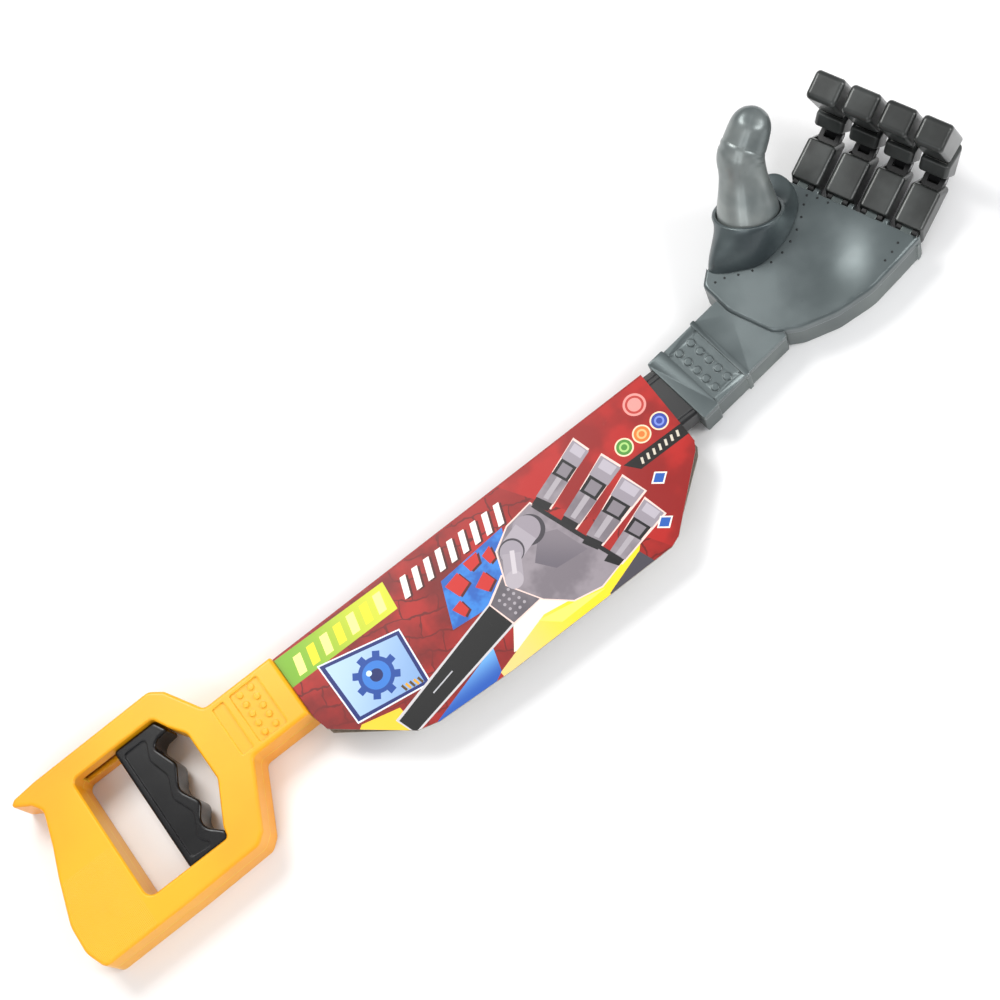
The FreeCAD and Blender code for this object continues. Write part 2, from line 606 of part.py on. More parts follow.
# thumb: two bent halves that part along the plane of the bend
def turned(profile, origin, axis, wall=0.0):
    """Solid of revolution; profile is (distance along the axis, radius)."""
    pts = [V(0, 0, 0)] and [(x, max(r - wall, 0)) for x, r in profile]
    curve = Part.BSplineCurve()
    curve.interpolate(Points=[V(x, r, 0) for x, r in pts])
    first, last = V(pts[0][0], 0, 0), V(pts[-1][0], 0, 0)
    edges = [curve.toShape()]
    if pts[-1][1] > 1e-6:
        edges.append(Part.makeLine(V(pts[-1][0], pts[-1][1], 0), last))
    edges.append(Part.makeLine(last, first))
    edges.append(Part.makeLine(first, V(pts[0][0], pts[0][1], 0)))
    solid = Part.Face(Part.Wire(edges)).revolve(V(0, 0, 0), V(1, 0, 0), 360)
    solid.Placement = FreeCAD.Placement(origin, FreeCAD.Rotation(V(1, 0, 0), axis))
    return solid


tip_axis = (T2 - T1).normalize()
LOWER = [(0.0, 13.6), (8.0, 13.4), (18.0, 12.6), (28.0, 11.9), (36.0, 12.2), (41.0, 12.3), (46.0, 10.6), (49.5, 6.6), (50.6, 0.0)]
TIP = [(0.0, 10.4), (6.0, 11.4), (12.0, 11.6), (20.0, 10.8), (25.5, 8.6), (28.6, 5.2), (29.8, 0.0)]
thumb_out = turned(LOWER, T0 - t_axis * 8.0, t_axis).fuse(turned(TIP, T1 - tip_axis * 2.0, tip_axis))
thumb_core = turned([(x, r) for x, r in LOWER[:6]] + [(44.0, 9.4), (47.0, 6.0), (48.4, 2.5)], T0 - t_axis * 8.0, t_axis, D("thumb_wall")).fuse(
    turned([(0.0, 9.0), (6.0, 11.2), (12.0, 11.6), (20.0, 10.6), (24.0, 8.6), (26.6, 4.6)], T1 - tip_axis * 2.0, tip_axis, D("thumb_wall")))
thumb_out = thumb_out.cut(thumb_core)
normal = t_axis.cross(tip_axis).normalize()
big = Part.makeBox(240, 240, 120, V(-120, -120, 0))
big.Placement = FreeCAD.Placement(T0, FreeCAD.Rotation(V(0, 0, 1), normal))
half_a = thumb_out.common(big)
half_b = thumb_out.cut(big)
PARTS.append(free("thumb_inner_half", half_a, PALM))
PARTS.append(free("thumb_outer_half", half_b, PALM))

# ------------------------------------------------------------------ fingers
SW, SH = D("seg_width") / 2, D("seg_height") / 2
BACK, IN_Z = -SH, SH
PIN_Z = -2.4        # pins between the segments, from the middle of the segment's height
KPIN_Z = 2.2        # knuckle pin


def seg_shell(label, length, near, far, tip, alias):
    """Hollow segment; near and far are (x at the back, x at the palm side) of the sloping ends."""
    b = new_body(label)
    L = length
    if tip:
        pts = [(near[0], BACK, 0.8), (L, BACK, 3.0), (L, IN_Z, 3.0), (near[1], IN_Z, 0.8)]
    else:
        pts = [(near[0], BACK, 0.8), (L - far[0], BACK, 0.8), (L - far[1], IN_Z, 0.8), (near[1], IN_Z, 0.8)]
    pad(b, "XZ_Plane", [pts], "Sizes.seg_width", middle=True)
    long_edge = lambda e: abs(abs(e.BoundBox.YMin) - SW) < 1e-3 and e.BoundBox.YLength < 1e-3
    dress(b, "Fillet", long_edge, "Sizes.seg_round")
    end = L - 2.4 if tip else L + 8
    c = D("seg_cavity") / 2
    pocket(b, "XZ_Plane", [rect(-8, -c, end, c, 0.0)], "Sizes.seg_inner", middle=True)
    return b


def seg_core(label, length, near_fork, block, far_pin, near_z):
    """Black link inside a segment: eye or fork at each pin and a block that fills the shell."""
    b = new_body(label)
    e = D("eye_radius")
    c = D("seg_cavity") / 2
    L = length
    pad(b, "XZ_Plane", [rect(block[0], -c, block[1], c, 0.6)], "Sizes.seg_inner", middle=True)
    pts = [(-e, near_z - e, e), (-e, near_z + e, e), (block[0] + 1.5, near_z + e), (block[0] + 1.5, near_z - e)]
    pad(b, "XZ_Plane", [pts], "Sizes.fork_width" if near_fork else "Sizes.tongue_width", middle=True)
    if far_pin:
        pts = [(L + e, PIN_Z + e, e), (L + e, PIN_Z - e, e), (block[1] - 1.5, PIN_Z - e), (block[1] - 1.5, PIN_Z + e)]
        pad(b, "XZ_Plane", [pts], "Sizes.fork_width", middle=True)
        pocket(b, "XZ_Plane", [rect(L - 3.6, -c - 1, L + 9, c + 1)], "Sizes.slot_width", middle=True)
        pocket(b, "XZ_Plane", [circle(L, PIN_Z, D("pin_radius") + D("pin_clear"))], 30.0, middle=True)
    if near_fork:
        pocket(b, "XZ_Plane", [rect(-9, -c - 1, 4.6, c + 1)], "Sizes.slot_width", middle=True)
    pocket(b, "XZ_Plane", [circle(0, near_z, D("pin_radius") + D("pin_clear"))], 30.0, middle=True)
    return b


def pin(label, x, z):
    w = D("fork_width")
    p = doc.addObject("Part::Cylinder", label)
    p.Label = label
    p.setExpression("Radius", "Sizes.pin_radius")
    p.setExpression("Height", "Sizes.fork_width")
    return p, FreeCAD.Placement(V(x, w / 2, z), FreeCAD.Rotation(V(1, 0, 0), 90))


def curl(angle):
    return FreeCAD.Placement(V(0, 0, 0), FreeCAD.Rotation(V(0, -1, 0), angle))


def shift(x, y, z):
    return FreeCAD.Placement(V(x, y, z), FreeCAD.Rotation())


L1, L2, L3 = D("len_proximal"), D("len_middle"), D("len_distal")
JOINTS = []
for i, v in enumerate(FINGERS, 1):
    f = "finger%d_" % i
    m1 = PALM.multiply(shift(lug_u, v, lug_z)).multiply(curl(D("rest_knuckle"))).multiply(shift(0, 0, -KPIN_Z))
    m2 = m1.multiply(shift(L1, 0, PIN_Z)).multiply(curl(D("rest_middle"))).multiply(shift(0, 0, -PIN_Z))
    m3 = m2.multiply(shift(L2, 0, PIN_Z)).multiply(curl(D("rest_distal"))).multiply(shift(0, 0, -PIN_Z))
    pieces = [
        (seg_shell(f + "proximal_shell", L1, (-2.4, 1.6), (0.9, 8.35), False, "len_proximal"), m1),
        (seg_core(f + "proximal_link", L1, True, (6.2, L1 - 8.8), True, KPIN_Z), m1),
        (seg_shell(f + "middle_shell", L2, (0.9, 8.35), (0.9, 6.8), False, "len_middle"), m2),
        (seg_core(f + "middle_link", L2, False, (8.7, L2 - 7.1), True, PIN_Z), m2),
        (seg_shell(f + "distal_shell", L3, (0.9, 6.8), None, True, "len_distal"), m3),
        (seg_core(f + "distal_link", L3, False, (7.1, L3 - 2.4), False, PIN_Z), m3),
    ]
    for piece, place in pieces:
        piece.Placement = place
        PARTS.append(piece)
    for label, x, base_place in (("middle_pin", L1, m1), ("distal_pin", L2, m2)):
        p, local = pin(f + label, x, PIN_Z)
        p.Placement = base_place.multiply(local)
        PARTS.append(p)
    JOINTS.append([m1.multVec(V(0, 0, KPIN_Z)), m2.multVec(V(0, 0, PIN_Z)), m3.multVec(V(0, 0, PIN_Z))])

# --------------------------------------------------- pull rod and finger yoke
rod = doc.addObject("Part::Cylinder", "pull_rod")
rod.setExpression("Radius", "Sizes.rod_radius")
rod.setExpression("Height", "Sizes.rod_length")
rod.Placement = FreeCAD.Placement(V(D("rod_start"), 0, ZM), FreeCAD.Rotation(V(0, 1, 0), 90))
PARTS.append(rod)
yoke = new_body("finger_yoke")
pad(yoke, "XZ_Plane", [rect(0.0, -3.0, 5.0, 3.0, 1.0)], 9.6, middle=True)
pocket(yoke, "YZ_Plane", [circle(0, 0, D("rod_radius"))], 4.0, reverse=True)
yoke.Placement = FreeCAD.Placement(V(D("rod_start") + D("rod_length") - 4.0, 0, ZM), FreeCAD.Rotation())
PARTS.append(yoke)
yoke_x = D("rod_start") + D("rod_length") + 1.8
routes = []
for i, v in enumerate(FINGERS):
    end = PALM.multVec(V(68.0, v, 10.0))
    routes.append([(yoke_x, 3.3 - 1.6 * i, ZM), (end.x, end.y, end.z)])
PARTS.append(cord("finger_cords", routes))

# --------------------------------------------------------------- place by origin
ORIGIN = V(D("origin_x"), 0, 0)
for o in PARTS:
    bound = [e[0] for e in o.ExpressionEngine]
    if not any("Placement.Base.x" in e for e in bound):
        o.Placement = FreeCAD.Placement(o.Placement.Base - ORIGIN, o.Placement.Rotation)
JOINTS = [[q - ORIGIN for q in js] for js in JOINTS]

# ------------------------------------------------------------ check and write
doc.recompute()
for o in doc.Objects:
    if "Invalid" in o.State or "Error" in o.State:
        raise RuntimeError("%s is %s" % (o.Name, o.State))
os.makedirs("parts", exist_ok=True)
for o in PARTS:
    shape = o.Shape
    if shape.isNull() or not shape.isValid():
        raise RuntimeError("bad shape: " + o.Label)
    shape.exportStep("parts/%s.step" % o.Label)
    print("%-26s solids %d  volume %9.1f" % (o.Label, len(shape.Solids), shape.Volume))
print(len(PARTS), "nodes")
for i, js in enumerate(JOINTS, 1):
    print("finger", i, [(round(p.x, 4), round(p.y, 4), round(p.z, 4)) for p in js])
ax = PALM.Rotation.multVec(V(0, -1, 0))
print("curl axis", ax)
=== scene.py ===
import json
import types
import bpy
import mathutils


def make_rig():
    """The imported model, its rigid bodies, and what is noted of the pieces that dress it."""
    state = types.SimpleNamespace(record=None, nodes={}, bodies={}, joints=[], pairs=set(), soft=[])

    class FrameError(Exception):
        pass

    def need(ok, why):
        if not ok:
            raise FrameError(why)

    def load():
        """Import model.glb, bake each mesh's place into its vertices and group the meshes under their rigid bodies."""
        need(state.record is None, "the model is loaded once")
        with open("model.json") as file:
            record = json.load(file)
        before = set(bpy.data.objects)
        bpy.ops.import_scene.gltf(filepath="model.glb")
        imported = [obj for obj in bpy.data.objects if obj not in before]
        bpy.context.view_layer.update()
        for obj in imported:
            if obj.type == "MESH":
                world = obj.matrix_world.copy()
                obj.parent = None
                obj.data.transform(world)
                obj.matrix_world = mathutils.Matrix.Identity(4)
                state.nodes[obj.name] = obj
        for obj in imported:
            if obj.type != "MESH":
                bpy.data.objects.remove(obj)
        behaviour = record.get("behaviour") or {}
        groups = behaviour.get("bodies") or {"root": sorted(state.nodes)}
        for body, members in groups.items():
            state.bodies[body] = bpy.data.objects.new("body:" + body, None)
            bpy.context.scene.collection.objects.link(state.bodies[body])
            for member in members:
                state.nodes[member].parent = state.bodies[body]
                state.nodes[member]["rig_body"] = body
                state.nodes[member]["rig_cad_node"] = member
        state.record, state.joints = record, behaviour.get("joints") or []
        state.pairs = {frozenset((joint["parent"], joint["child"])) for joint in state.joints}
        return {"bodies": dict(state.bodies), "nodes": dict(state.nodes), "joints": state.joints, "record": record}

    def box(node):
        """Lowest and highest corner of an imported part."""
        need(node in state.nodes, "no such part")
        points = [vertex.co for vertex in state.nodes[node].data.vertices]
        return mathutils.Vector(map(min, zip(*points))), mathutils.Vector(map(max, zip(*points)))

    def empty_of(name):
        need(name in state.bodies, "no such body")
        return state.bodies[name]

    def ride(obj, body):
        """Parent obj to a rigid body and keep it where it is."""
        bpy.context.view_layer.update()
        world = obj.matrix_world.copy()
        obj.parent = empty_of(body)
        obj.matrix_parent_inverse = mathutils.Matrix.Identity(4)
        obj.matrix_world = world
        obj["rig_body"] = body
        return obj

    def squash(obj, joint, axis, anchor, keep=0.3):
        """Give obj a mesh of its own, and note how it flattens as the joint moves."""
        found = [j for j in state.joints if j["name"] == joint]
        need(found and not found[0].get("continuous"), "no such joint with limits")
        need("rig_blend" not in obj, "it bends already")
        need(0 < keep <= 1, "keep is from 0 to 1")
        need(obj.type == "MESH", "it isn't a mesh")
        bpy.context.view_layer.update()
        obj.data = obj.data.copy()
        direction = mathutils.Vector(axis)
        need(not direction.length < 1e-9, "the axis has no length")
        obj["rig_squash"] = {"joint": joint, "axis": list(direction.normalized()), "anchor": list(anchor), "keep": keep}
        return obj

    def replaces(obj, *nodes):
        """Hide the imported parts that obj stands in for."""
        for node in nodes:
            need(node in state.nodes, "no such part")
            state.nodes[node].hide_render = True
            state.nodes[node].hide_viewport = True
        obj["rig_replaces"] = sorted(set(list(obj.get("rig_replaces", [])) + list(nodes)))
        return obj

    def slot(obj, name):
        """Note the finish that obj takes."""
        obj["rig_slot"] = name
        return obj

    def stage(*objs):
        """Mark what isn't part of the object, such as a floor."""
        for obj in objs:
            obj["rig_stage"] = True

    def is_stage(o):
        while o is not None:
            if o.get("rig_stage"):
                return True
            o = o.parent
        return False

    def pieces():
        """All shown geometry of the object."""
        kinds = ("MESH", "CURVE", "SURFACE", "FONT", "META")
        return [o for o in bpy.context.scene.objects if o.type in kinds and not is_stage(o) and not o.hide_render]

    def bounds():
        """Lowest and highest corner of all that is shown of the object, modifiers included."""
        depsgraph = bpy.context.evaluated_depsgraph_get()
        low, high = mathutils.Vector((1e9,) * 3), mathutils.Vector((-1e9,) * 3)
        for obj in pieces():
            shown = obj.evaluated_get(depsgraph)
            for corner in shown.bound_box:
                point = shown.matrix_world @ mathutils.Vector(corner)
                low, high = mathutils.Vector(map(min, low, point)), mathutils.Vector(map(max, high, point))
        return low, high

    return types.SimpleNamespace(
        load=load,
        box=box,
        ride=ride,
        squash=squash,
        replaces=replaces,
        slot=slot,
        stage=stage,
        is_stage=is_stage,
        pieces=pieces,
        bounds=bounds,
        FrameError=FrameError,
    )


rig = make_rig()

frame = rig.load()

import bmesh
import bpy
import json
import math
import random
from mathutils import Matrix, Vector

size_before = [list(map(float, c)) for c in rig.bounds()]
random.seed(7)

# ------------------------------------------------------------------ colours
def srgb(h):
    h = h.lstrip("#")
    out = []
    for i in (0, 2, 4):
        c = int(h[i:i + 2], 16) / 255.0
        out.append(c / 12.92 if c <= 0.04045 else ((c + 0.055) / 1.055) ** 2.4)
    return tuple(out) + (1.0,)


class Tree:
    """Short way to build a material's nodes."""

    def __init__(self, name):
        self.mat = bpy.data.materials.new(name)
        self.mat.use_nodes = True
        self.t = self.mat.node_tree
        self.t.nodes.clear()
        self.out = self.t.nodes.new("ShaderNodeOutputMaterial")
        self.bsdf = self.t.nodes.new("ShaderNodeBsdfPrincipled")
        self.t.links.new(self.bsdf.outputs[0], self.out.inputs[0])
        self.co = self.t.nodes.new("ShaderNodeTexCoord").outputs["Object"]
        self._xyz = None

    def put(self, socket, value):
        if hasattr(value, "is_output"):
            self.t.links.new(value, socket)
        else:
            socket.default_value = value

    def xyz(self):
        if self._xyz is None:
            n = self.t.nodes.new("ShaderNodeSeparateXYZ")
            self.t.links.new(self.co, n.inputs[0])
            self._xyz = n.outputs
        return self._xyz

    def m(self, op, a, b=0.0, c=None, clamp=False):
        n = self.t.nodes.new("ShaderNodeMath")
        n.operation = op
        n.use_clamp = clamp
        self.put(n.inputs[0], a)
        self.put(n.inputs[1], b)
        if c is not None:
            self.put(n.inputs[2], c)
        return n.outputs[0]

    def mix(self, fac, a, b, blend="MIX"):
        n = self.t.nodes.new("ShaderNodeMix")
        n.data_type = "RGBA"
        n.blend_type = blend
        self.put(n.inputs[0], fac)
        self.put(n.inputs[6], a)
        self.put(n.inputs[7], b)
        return n.outputs[2]

    def noise(self, scale, detail=4.0, rough=0.55, vector=None):
        n = self.t.nodes.new("ShaderNodeTexNoise")
        n.inputs["Scale"].default_value = scale
        n.inputs["Detail"].default_value = detail
        n.inputs["Roughness"].default_value = rough
        self.t.links.new(vector or self.co, n.inputs["Vector"])
        return n.outputs[0]

    def ramp(self, value, lo, hi):
        n = self.t.nodes.new("ShaderNodeMapRange")
        n.interpolation_type = "SMOOTHSTEP"
        self.put(n.inputs[0], value)
        n.inputs[1].default_value = lo
        n.inputs[2].default_value = hi
        return n.outputs[0]

    def edges(self, radius, samples=6):
        """1 on convex and concave edges, 0 on flat faces, and the rounded normal."""
        b = self.t.nodes.new("ShaderNodeBevel")
        b.samples = samples
        b.inputs["Radius"].default_value = radius
        g = self.t.nodes.new("ShaderNodeNewGeometry")
        d = self.t.nodes.new("ShaderNodeVectorMath")
        d.operation = "DOT_PRODUCT"
        self.t.links.new(b.outputs[0], d.inputs[0])
        self.t.links.new(g.outputs["Normal"], d.inputs[1])
        return self.m("SUBTRACT", 1.0, d.outputs["Value"], clamp=True), b.outputs[0]

    def bump(self, height, strength, distance=0.0004, normal=None):
        n = self.t.nodes.new("ShaderNodeBump")
        n.inputs["Strength"].default_value = strength
        n.inputs["Distance"].default_value = distance
        self.put(n.inputs["Height"], height)
        if normal is not None:
            self.t.links.new(normal, n.inputs["Normal"])
        return n.outputs[0]

    def finish(self, color, rough, metallic=0.0, normal=None, coat=0.0, specular=0.5, sss=0.0):
        b = self.bsdf.inputs
        self.put(b["Base Color"], color)
        self.put(b["Roughness"], rough)
        self.put(b["Metallic"], metallic)
        b["Specular IOR Level"].default_value = specular
        b["Coat Weight"].default_value = coat
        b["Coat Roughness"].default_value = 0.12
        if sss:
            b["Subsurface Weight"].default_value = sss
            b["Subsurface Radius"].default_value = (0.004, 0.002, 0.001)
        if normal is not None:
            self.t.links.new(normal, b["Normal"])
        return self.mat


def moulded(name, main, second, edge, rough, metallic=0.0, coat=0.0, edge_gain=3.0, grain=0.12, blotch=22.0,
            sss=0.0, radius=0.0007, dirt=0.35, dark=None):
    t = Tree(name)
    big = t.noise(blotch, 3.0, 0.5)
    fine = t.noise(900.0, 2.0, 0.6)
    col = t.mix(t.ramp(big, 0.35, 0.68), main, second)
    speck = t.ramp(t.noise(260.0, 5.0, 0.7), 0.62, 0.75)
    col = t.mix(t.m("MULTIPLY", speck, dirt * 0.35), col, dark or tuple(c * 0.45 for c in main[:3]) + (1.0,))
    # edges are lightened towards the edge colour in noisy patches: partly wear, partly painted highlight
    mask, nrm = t.edges(radius)
    wear_and_painted_highlight = t.m("MULTIPLY", t.m("MULTIPLY", mask, edge_gain, clamp=True), t.ramp(t.noise(70.0, 4.0, 0.65), 0.25, 0.6))
    col = t.mix(wear_and_painted_highlight, col, edge)
    r = t.m("ADD", rough - 0.05, t.m("MULTIPLY", t.noise(55.0, 4.0, 0.6), 0.12))
    n = t.bump(fine, grain, 0.00012, nrm)
    return t, col, r, n, metallic, coat, sss


def plain(*a, specular=0.5, **k):
    t, col, r, n, metallic, coat, sss = moulded(*a, **k)
    return t.finish(col, r, metallic, n, coat, specular=specular, sss=sss)


# ---------------------------------------------------------------- materials
# the third colour of each finish is its lightened edge colour: partly wear, partly painted highlight
# yellow handle, with fine hatching on the lower part of the grip
t, col, r, n, _, _, _ = moulded("yellow_plastic", srgb("#F9AF12"), srgb("#F4A00C"), srgb("#FDDD48"), 0.36,
                                edge_gain=5.0, blotch=9.0, sss=0.06, radius=0.0012, dirt=0.2, dark=srgb("#D98A10"))
x, y, z = t.xyz()
hatch_zone = t.m("MULTIPLY", t.m("LESS_THAN", y, -0.010), t.m("LESS_THAN", x, -0.090))
u = t.m("SINE", t.m("MULTIPLY", t.m("ADD", x, y), 3600.0))
v = t.m("SINE", t.m("MULTIPLY", t.m("SUBTRACT", x, y), 3600.0))
hatch = t.m("MULTIPLY", t.m("MULTIPLY", u, v), hatch_zone)
n = t.bump(hatch, 0.35, 0.0002, n)
YELLOW = t.finish(col, r, 0.0, n, 0.08, specular=0.4, sss=0.06)

PALM_GREY = plain("palm_gunmetal", srgb("#525B5C"), srgb("#666F70"), srgb("#9BA3A2"), 0.33, metallic=0.5,
                  coat=0.1, edge_gain=4.0, blotch=26.0, radius=0.0009, dark=srgb("#343A39"))
CUFF_BACK = plain("back_gunmetal", srgb("#515A5A"), srgb("#69726F"), srgb("#9AA3A0"), 0.38, metallic=0.45,
                  coat=0.1, edge_gain=4.0, blotch=18.0, radius=0.0009, dark=srgb("#30363A"))
SOCKET_GREY = plain("socket_gunmetal", srgb("#3F484B"), srgb("#5A6465"), srgb("#98A2A1"), 0.33, metallic=0.45,
                    coat=0.15, edge_gain=4.5, blotch=30.0, radius=0.0009, dark=srgb("#24292B"))
# the thumb takes the palm's gunmetal in lighter tones: painted highlight
THUMB_GREY_PAINTED_HIGHLIGHT = plain("thumb_gunmetal", srgb("#666E6E"), srgb("#8A908E"), srgb("#B2B7B4"), 0.34, metallic=0.42,
                   coat=0.12, edge_gain=4.0, blotch=34.0, radius=0.0006, dark=srgb("#3A403F"))
FINGER_GREY = plain("finger_gunmetal", srgb("#2C2E2D"), srgb("#424544"), srgb("#A3A5A0"), 0.3, metallic=0.35,
                    coat=0.15, edge_gain=6.0, blotch=40.0, radius=0.0009, dark=srgb("#1D1F1E"))
BLACK_GLOSS = plain("trigger_black", srgb("#050506"), srgb("#0A0A0C"), srgb("#3A3B3E"), 0.24, coat=0.12,
                    edge_gain=3.0, blotch=30.0, radius=0.0009, grain=0.05, dark=srgb("#08090A"), specular=0.3)
BLACK_TUBE = plain("tube_black", srgb("#08090A"), srgb("#101113"), srgb("#3E4043"), 0.3, coat=0.1,
                   edge_gain=3.0, blotch=30.0, radius=0.0006, grain=0.05, dark=srgb("#08090A"))
BLACK_LINK = plain("link_nylon", srgb("#0D0E0F"), srgb("#191A1B"), srgb("#3B3C3D"), 0.42,
                   edge_gain=2.0, blotch=60.0, radius=0.0005, dark=srgb("#050505"))
WHITE_INNER = plain("acetal", srgb("#E4E3DC"), srgb("#D6D4CB"), srgb("#F4F4F0"), 0.4, blotch=60.0)
CORD = plain("nylon_cord", srgb("#D8D6CC"), srgb("#BDBBB0"), srgb("#EEEEE8"), 0.7, blotch=400.0, grain=0.5)
STEEL = plain("plated_steel", srgb("#9A9C9E"), srgb("#B4B6B8"), srgb("#DCDDDE"), 0.25, metallic=0.95, blotch=120.0,
              radius=0.0003)
# near-black finish for the dots that stand for the palm's small dimples: painted shade
PAINTED_SHADE_DOT = plain("dark_recess", srgb("#16191A"), srgb("#202425"), srgb("#2C3031"), 0.6, blotch=120.0)

# ------------------------------------------------------------ printed card
OX = 128.0                      # millimetres from the rear of the handle to the frame's origin


def card_material():
    t = Tree("printed_card")
    x, y, z = t.xyz()
    X = t.m("ADD", t.m("MULTIPLY", x, 1000.0), OX)
    Y = t.m("MULTIPLY", y, 1000.0)

    place = t.t.nodes.new("ShaderNodeCombineXYZ")
    t.put(place.inputs[0], X)
    t.put(place.inputs[1], Y)
    place.inputs[2].default_value = 1.0

    def vmath(op, value):
        n = t.t.nodes.new("ShaderNodeVectorMath")
        n.operation = op
        t.t.links.new(place.outputs[0], n.inputs[0])
        n.inputs[1].default_value = value
        return n.outputs["Value"]

    def poly(points):
        """1 inside a convex outline."""
        area = sum(points[i - 1][0] * points[i][1] - points[i][0] * points[i - 1][1] for i in range(len(points)))
        if area < 0:
            points = points[::-1]
        near = None
        for i in range(len(points)):
            a, b = points[i], points[(i + 1) % len(points)]
            dx, dy = b[0] - a[0], b[1] - a[1]
            ln = math.hypot(dx, dy)
            nx, ny = -dy / ln, dx / ln
            e = vmath("DOT_PRODUCT", (nx, ny, -(a[0] * nx + a[1] * ny)))
            near = e if near is None else t.m("MINIMUM", near, e)
        return t.m("GREATER_THAN", near, 0.0)

    def disc(cx, cy, r0, r1=0.0):
        d = vmath("DISTANCE", (cx, cy, 1.0))
        m = t.m("LESS_THAN", d, r0)
        if r1:
            m = t.m("MULTIPLY", m, t.m("GREATER_THAN", d, r1))
        return m

    def hexagon(cx, cy, r, turn=0.0):
        return [(cx + r * math.cos(math.radians(60 * i + turn)), cy + r * math.sin(math.radians(60 * i + turn)))
                for i in range(6)]

    def bar(x0, y0, x1, y1, w):
        dx, dy = x1 - x0, y1 - y0
        ln = math.hypot(dx, dy)
        nx, ny = -dy / ln * w / 2, dx / ln * w / 2
        return [(x0 + nx, y0 + ny), (x1 + nx, y1 + ny), (x1 - nx, y1 - ny), (x0 - nx, y0 - ny)]

    # ground: red rock blocks with darker joints
    brick = t.t.nodes.new("ShaderNodeTexBrick")
    mp = t.t.nodes.new("ShaderNodeMapping")
    mp.inputs["Rotation"].default_value = (0, 0, 0.35)
    t.t.links.new(t.co, mp.inputs[0])
    warp = t.mix(0.012, mp.outputs[0], t.noise(60.0, 3.0, 0.6), "ADD")
    t.t.links.new(warp, brick.inputs["Vector"])
    for k, val in (("Scale", 36.0), ("Mortar Size", 0.022), ("Mortar Smooth", 0.5), ("Brick Width", 0.7),
                   ("Row Height", 0.36)):
        brick.inputs[k].default_value = val
    brick.inputs["Color1"].default_value = srgb("#C32A20")
    brick.inputs["Color2"].default_value = srgb("#A31B16")
    brick.inputs["Mortar"].default_value = srgb("#7C120F")
    col = t.mix(t.ramp(t.noise(26.0, 4.0, 0.6), 0.42, 0.7), brick.outputs[0], srgb("#86110E"))
    col = t.mix(poly([(300, 19), (395, 19), (395, -64), (352, -64)]), col,
                t.mix(t.ramp(t.noise(40.0, 3.0, 0.5), 0.4, 0.6), srgb("#BE231C"), srgb("#A01813")))

    def lay(mask, colour):
        nonlocal col
        col = t.mix(mask, col, colour)

    # upper-left stripe with slanted blocks
    green = t.mix(t.ramp(X, 160.0, 224.0), srgb("#8DBE3A"), srgb("#D9DC3C"))
    lay(poly([(156, 16.6), (226.3, 14.6), (224.5, -1.6), (156, -0.8)]), green)
    for i in range(7):
        x0 = 165.0 + i * 8.4
        lay(poly([(x0, 1.6), (x0 + 4.6, 1.5), (x0 + 7.0, 11.8), (x0 + 2.4, 11.9)]),
            srgb("#F6E431") if i % 2 else srgb("#FFF6A0"))
    for i in range(9):
        x0 = 230.4 + i * 7.4
        lay(poly([(x0 + 0.8, -1.3), (x0 + 4.4, -1.4), (x0 + 8.4, 9.5), (x0 + 4.8, 9.7)]), srgb("#5A0D0B"))
        lay(poly([(x0, -0.4), (x0 + 3.4, -0.5), (x0 + 7.4, 10.4), (x0 + 4.0, 10.6)]), srgb("#F6F2EC"))
    # blue field behind the drawing, with broken rock on it
    lay(poly([(240.4, -28.5), (250.0, -4.4), (290.6, -1.4), (283.0, -20.0), (264.0, -31.0)]),
        t.mix(t.ramp(t.noise(90.0, 3.0, 0.6), 0.4, 0.6), srgb("#2A6FC0"), srgb("#3F93DA")))
    for pts in (((250, -8), (259, -6), (261, -14), (253, -17)), ((264, -4), (273, -3.4), (271, -9), (265, -10)),
                ((262, -18), (270, -14), (272, -21), (266, -24)), ((246, -20), (252, -18.5), (253, -25), (249, -27)),
                ((274, -7), (280, -5), (279, -12), (275, -13))):
        lay(poly([(q[0] + 0.9, q[1] - 1.1) for q in pts]), srgb("#5E0F0D"))
        lay(poly(list(pts)), srgb("#CE2F26"))
    # rays along the lower edge
    lay(poly([(207.4, -61.2), (267.1, -43.2), (266.0, -51.0), (247.5, -60.8), (246, -66), (207, -66)]),
        t.mix(t.ramp(Y, -62.0, -46.0), srgb("#2466BE"), srgb("#86C3EC")))
    lay(poly([(258.0, -57.0), (267.0, -44.0), (284.0, -43.0), (299.0, -54.0), (275.0, -61.5)]), srgb("#EEF3E0"))
    gold = t.mix(t.ramp(X, 250.0, 300.0), srgb("#EBD590"), srgb("#F6DE2A"))
    lay(poly([(246.8, -61.0), (281.0, -51.0), (318.0, -57.0), (314.0, -66.0), (247.0, -66)]), gold)
    lay(poly([(296.0, -58.0), (322.0, -50.0), (342.0, -50.5), (337.2, -55.4), (313.2, -63.4), (300.0, -63.0)]), gold)
    lay(poly([(275.0, -50.0), (297.0, -55.6), (318.0, -59.6), (286.0, -59.8)]), srgb("#FDF07A"))
    lay(poly([(313.2, -63.2), (337.2, -55.2), (340.6, -64.5), (313.0, -64.5)]), srgb("#55525C"))
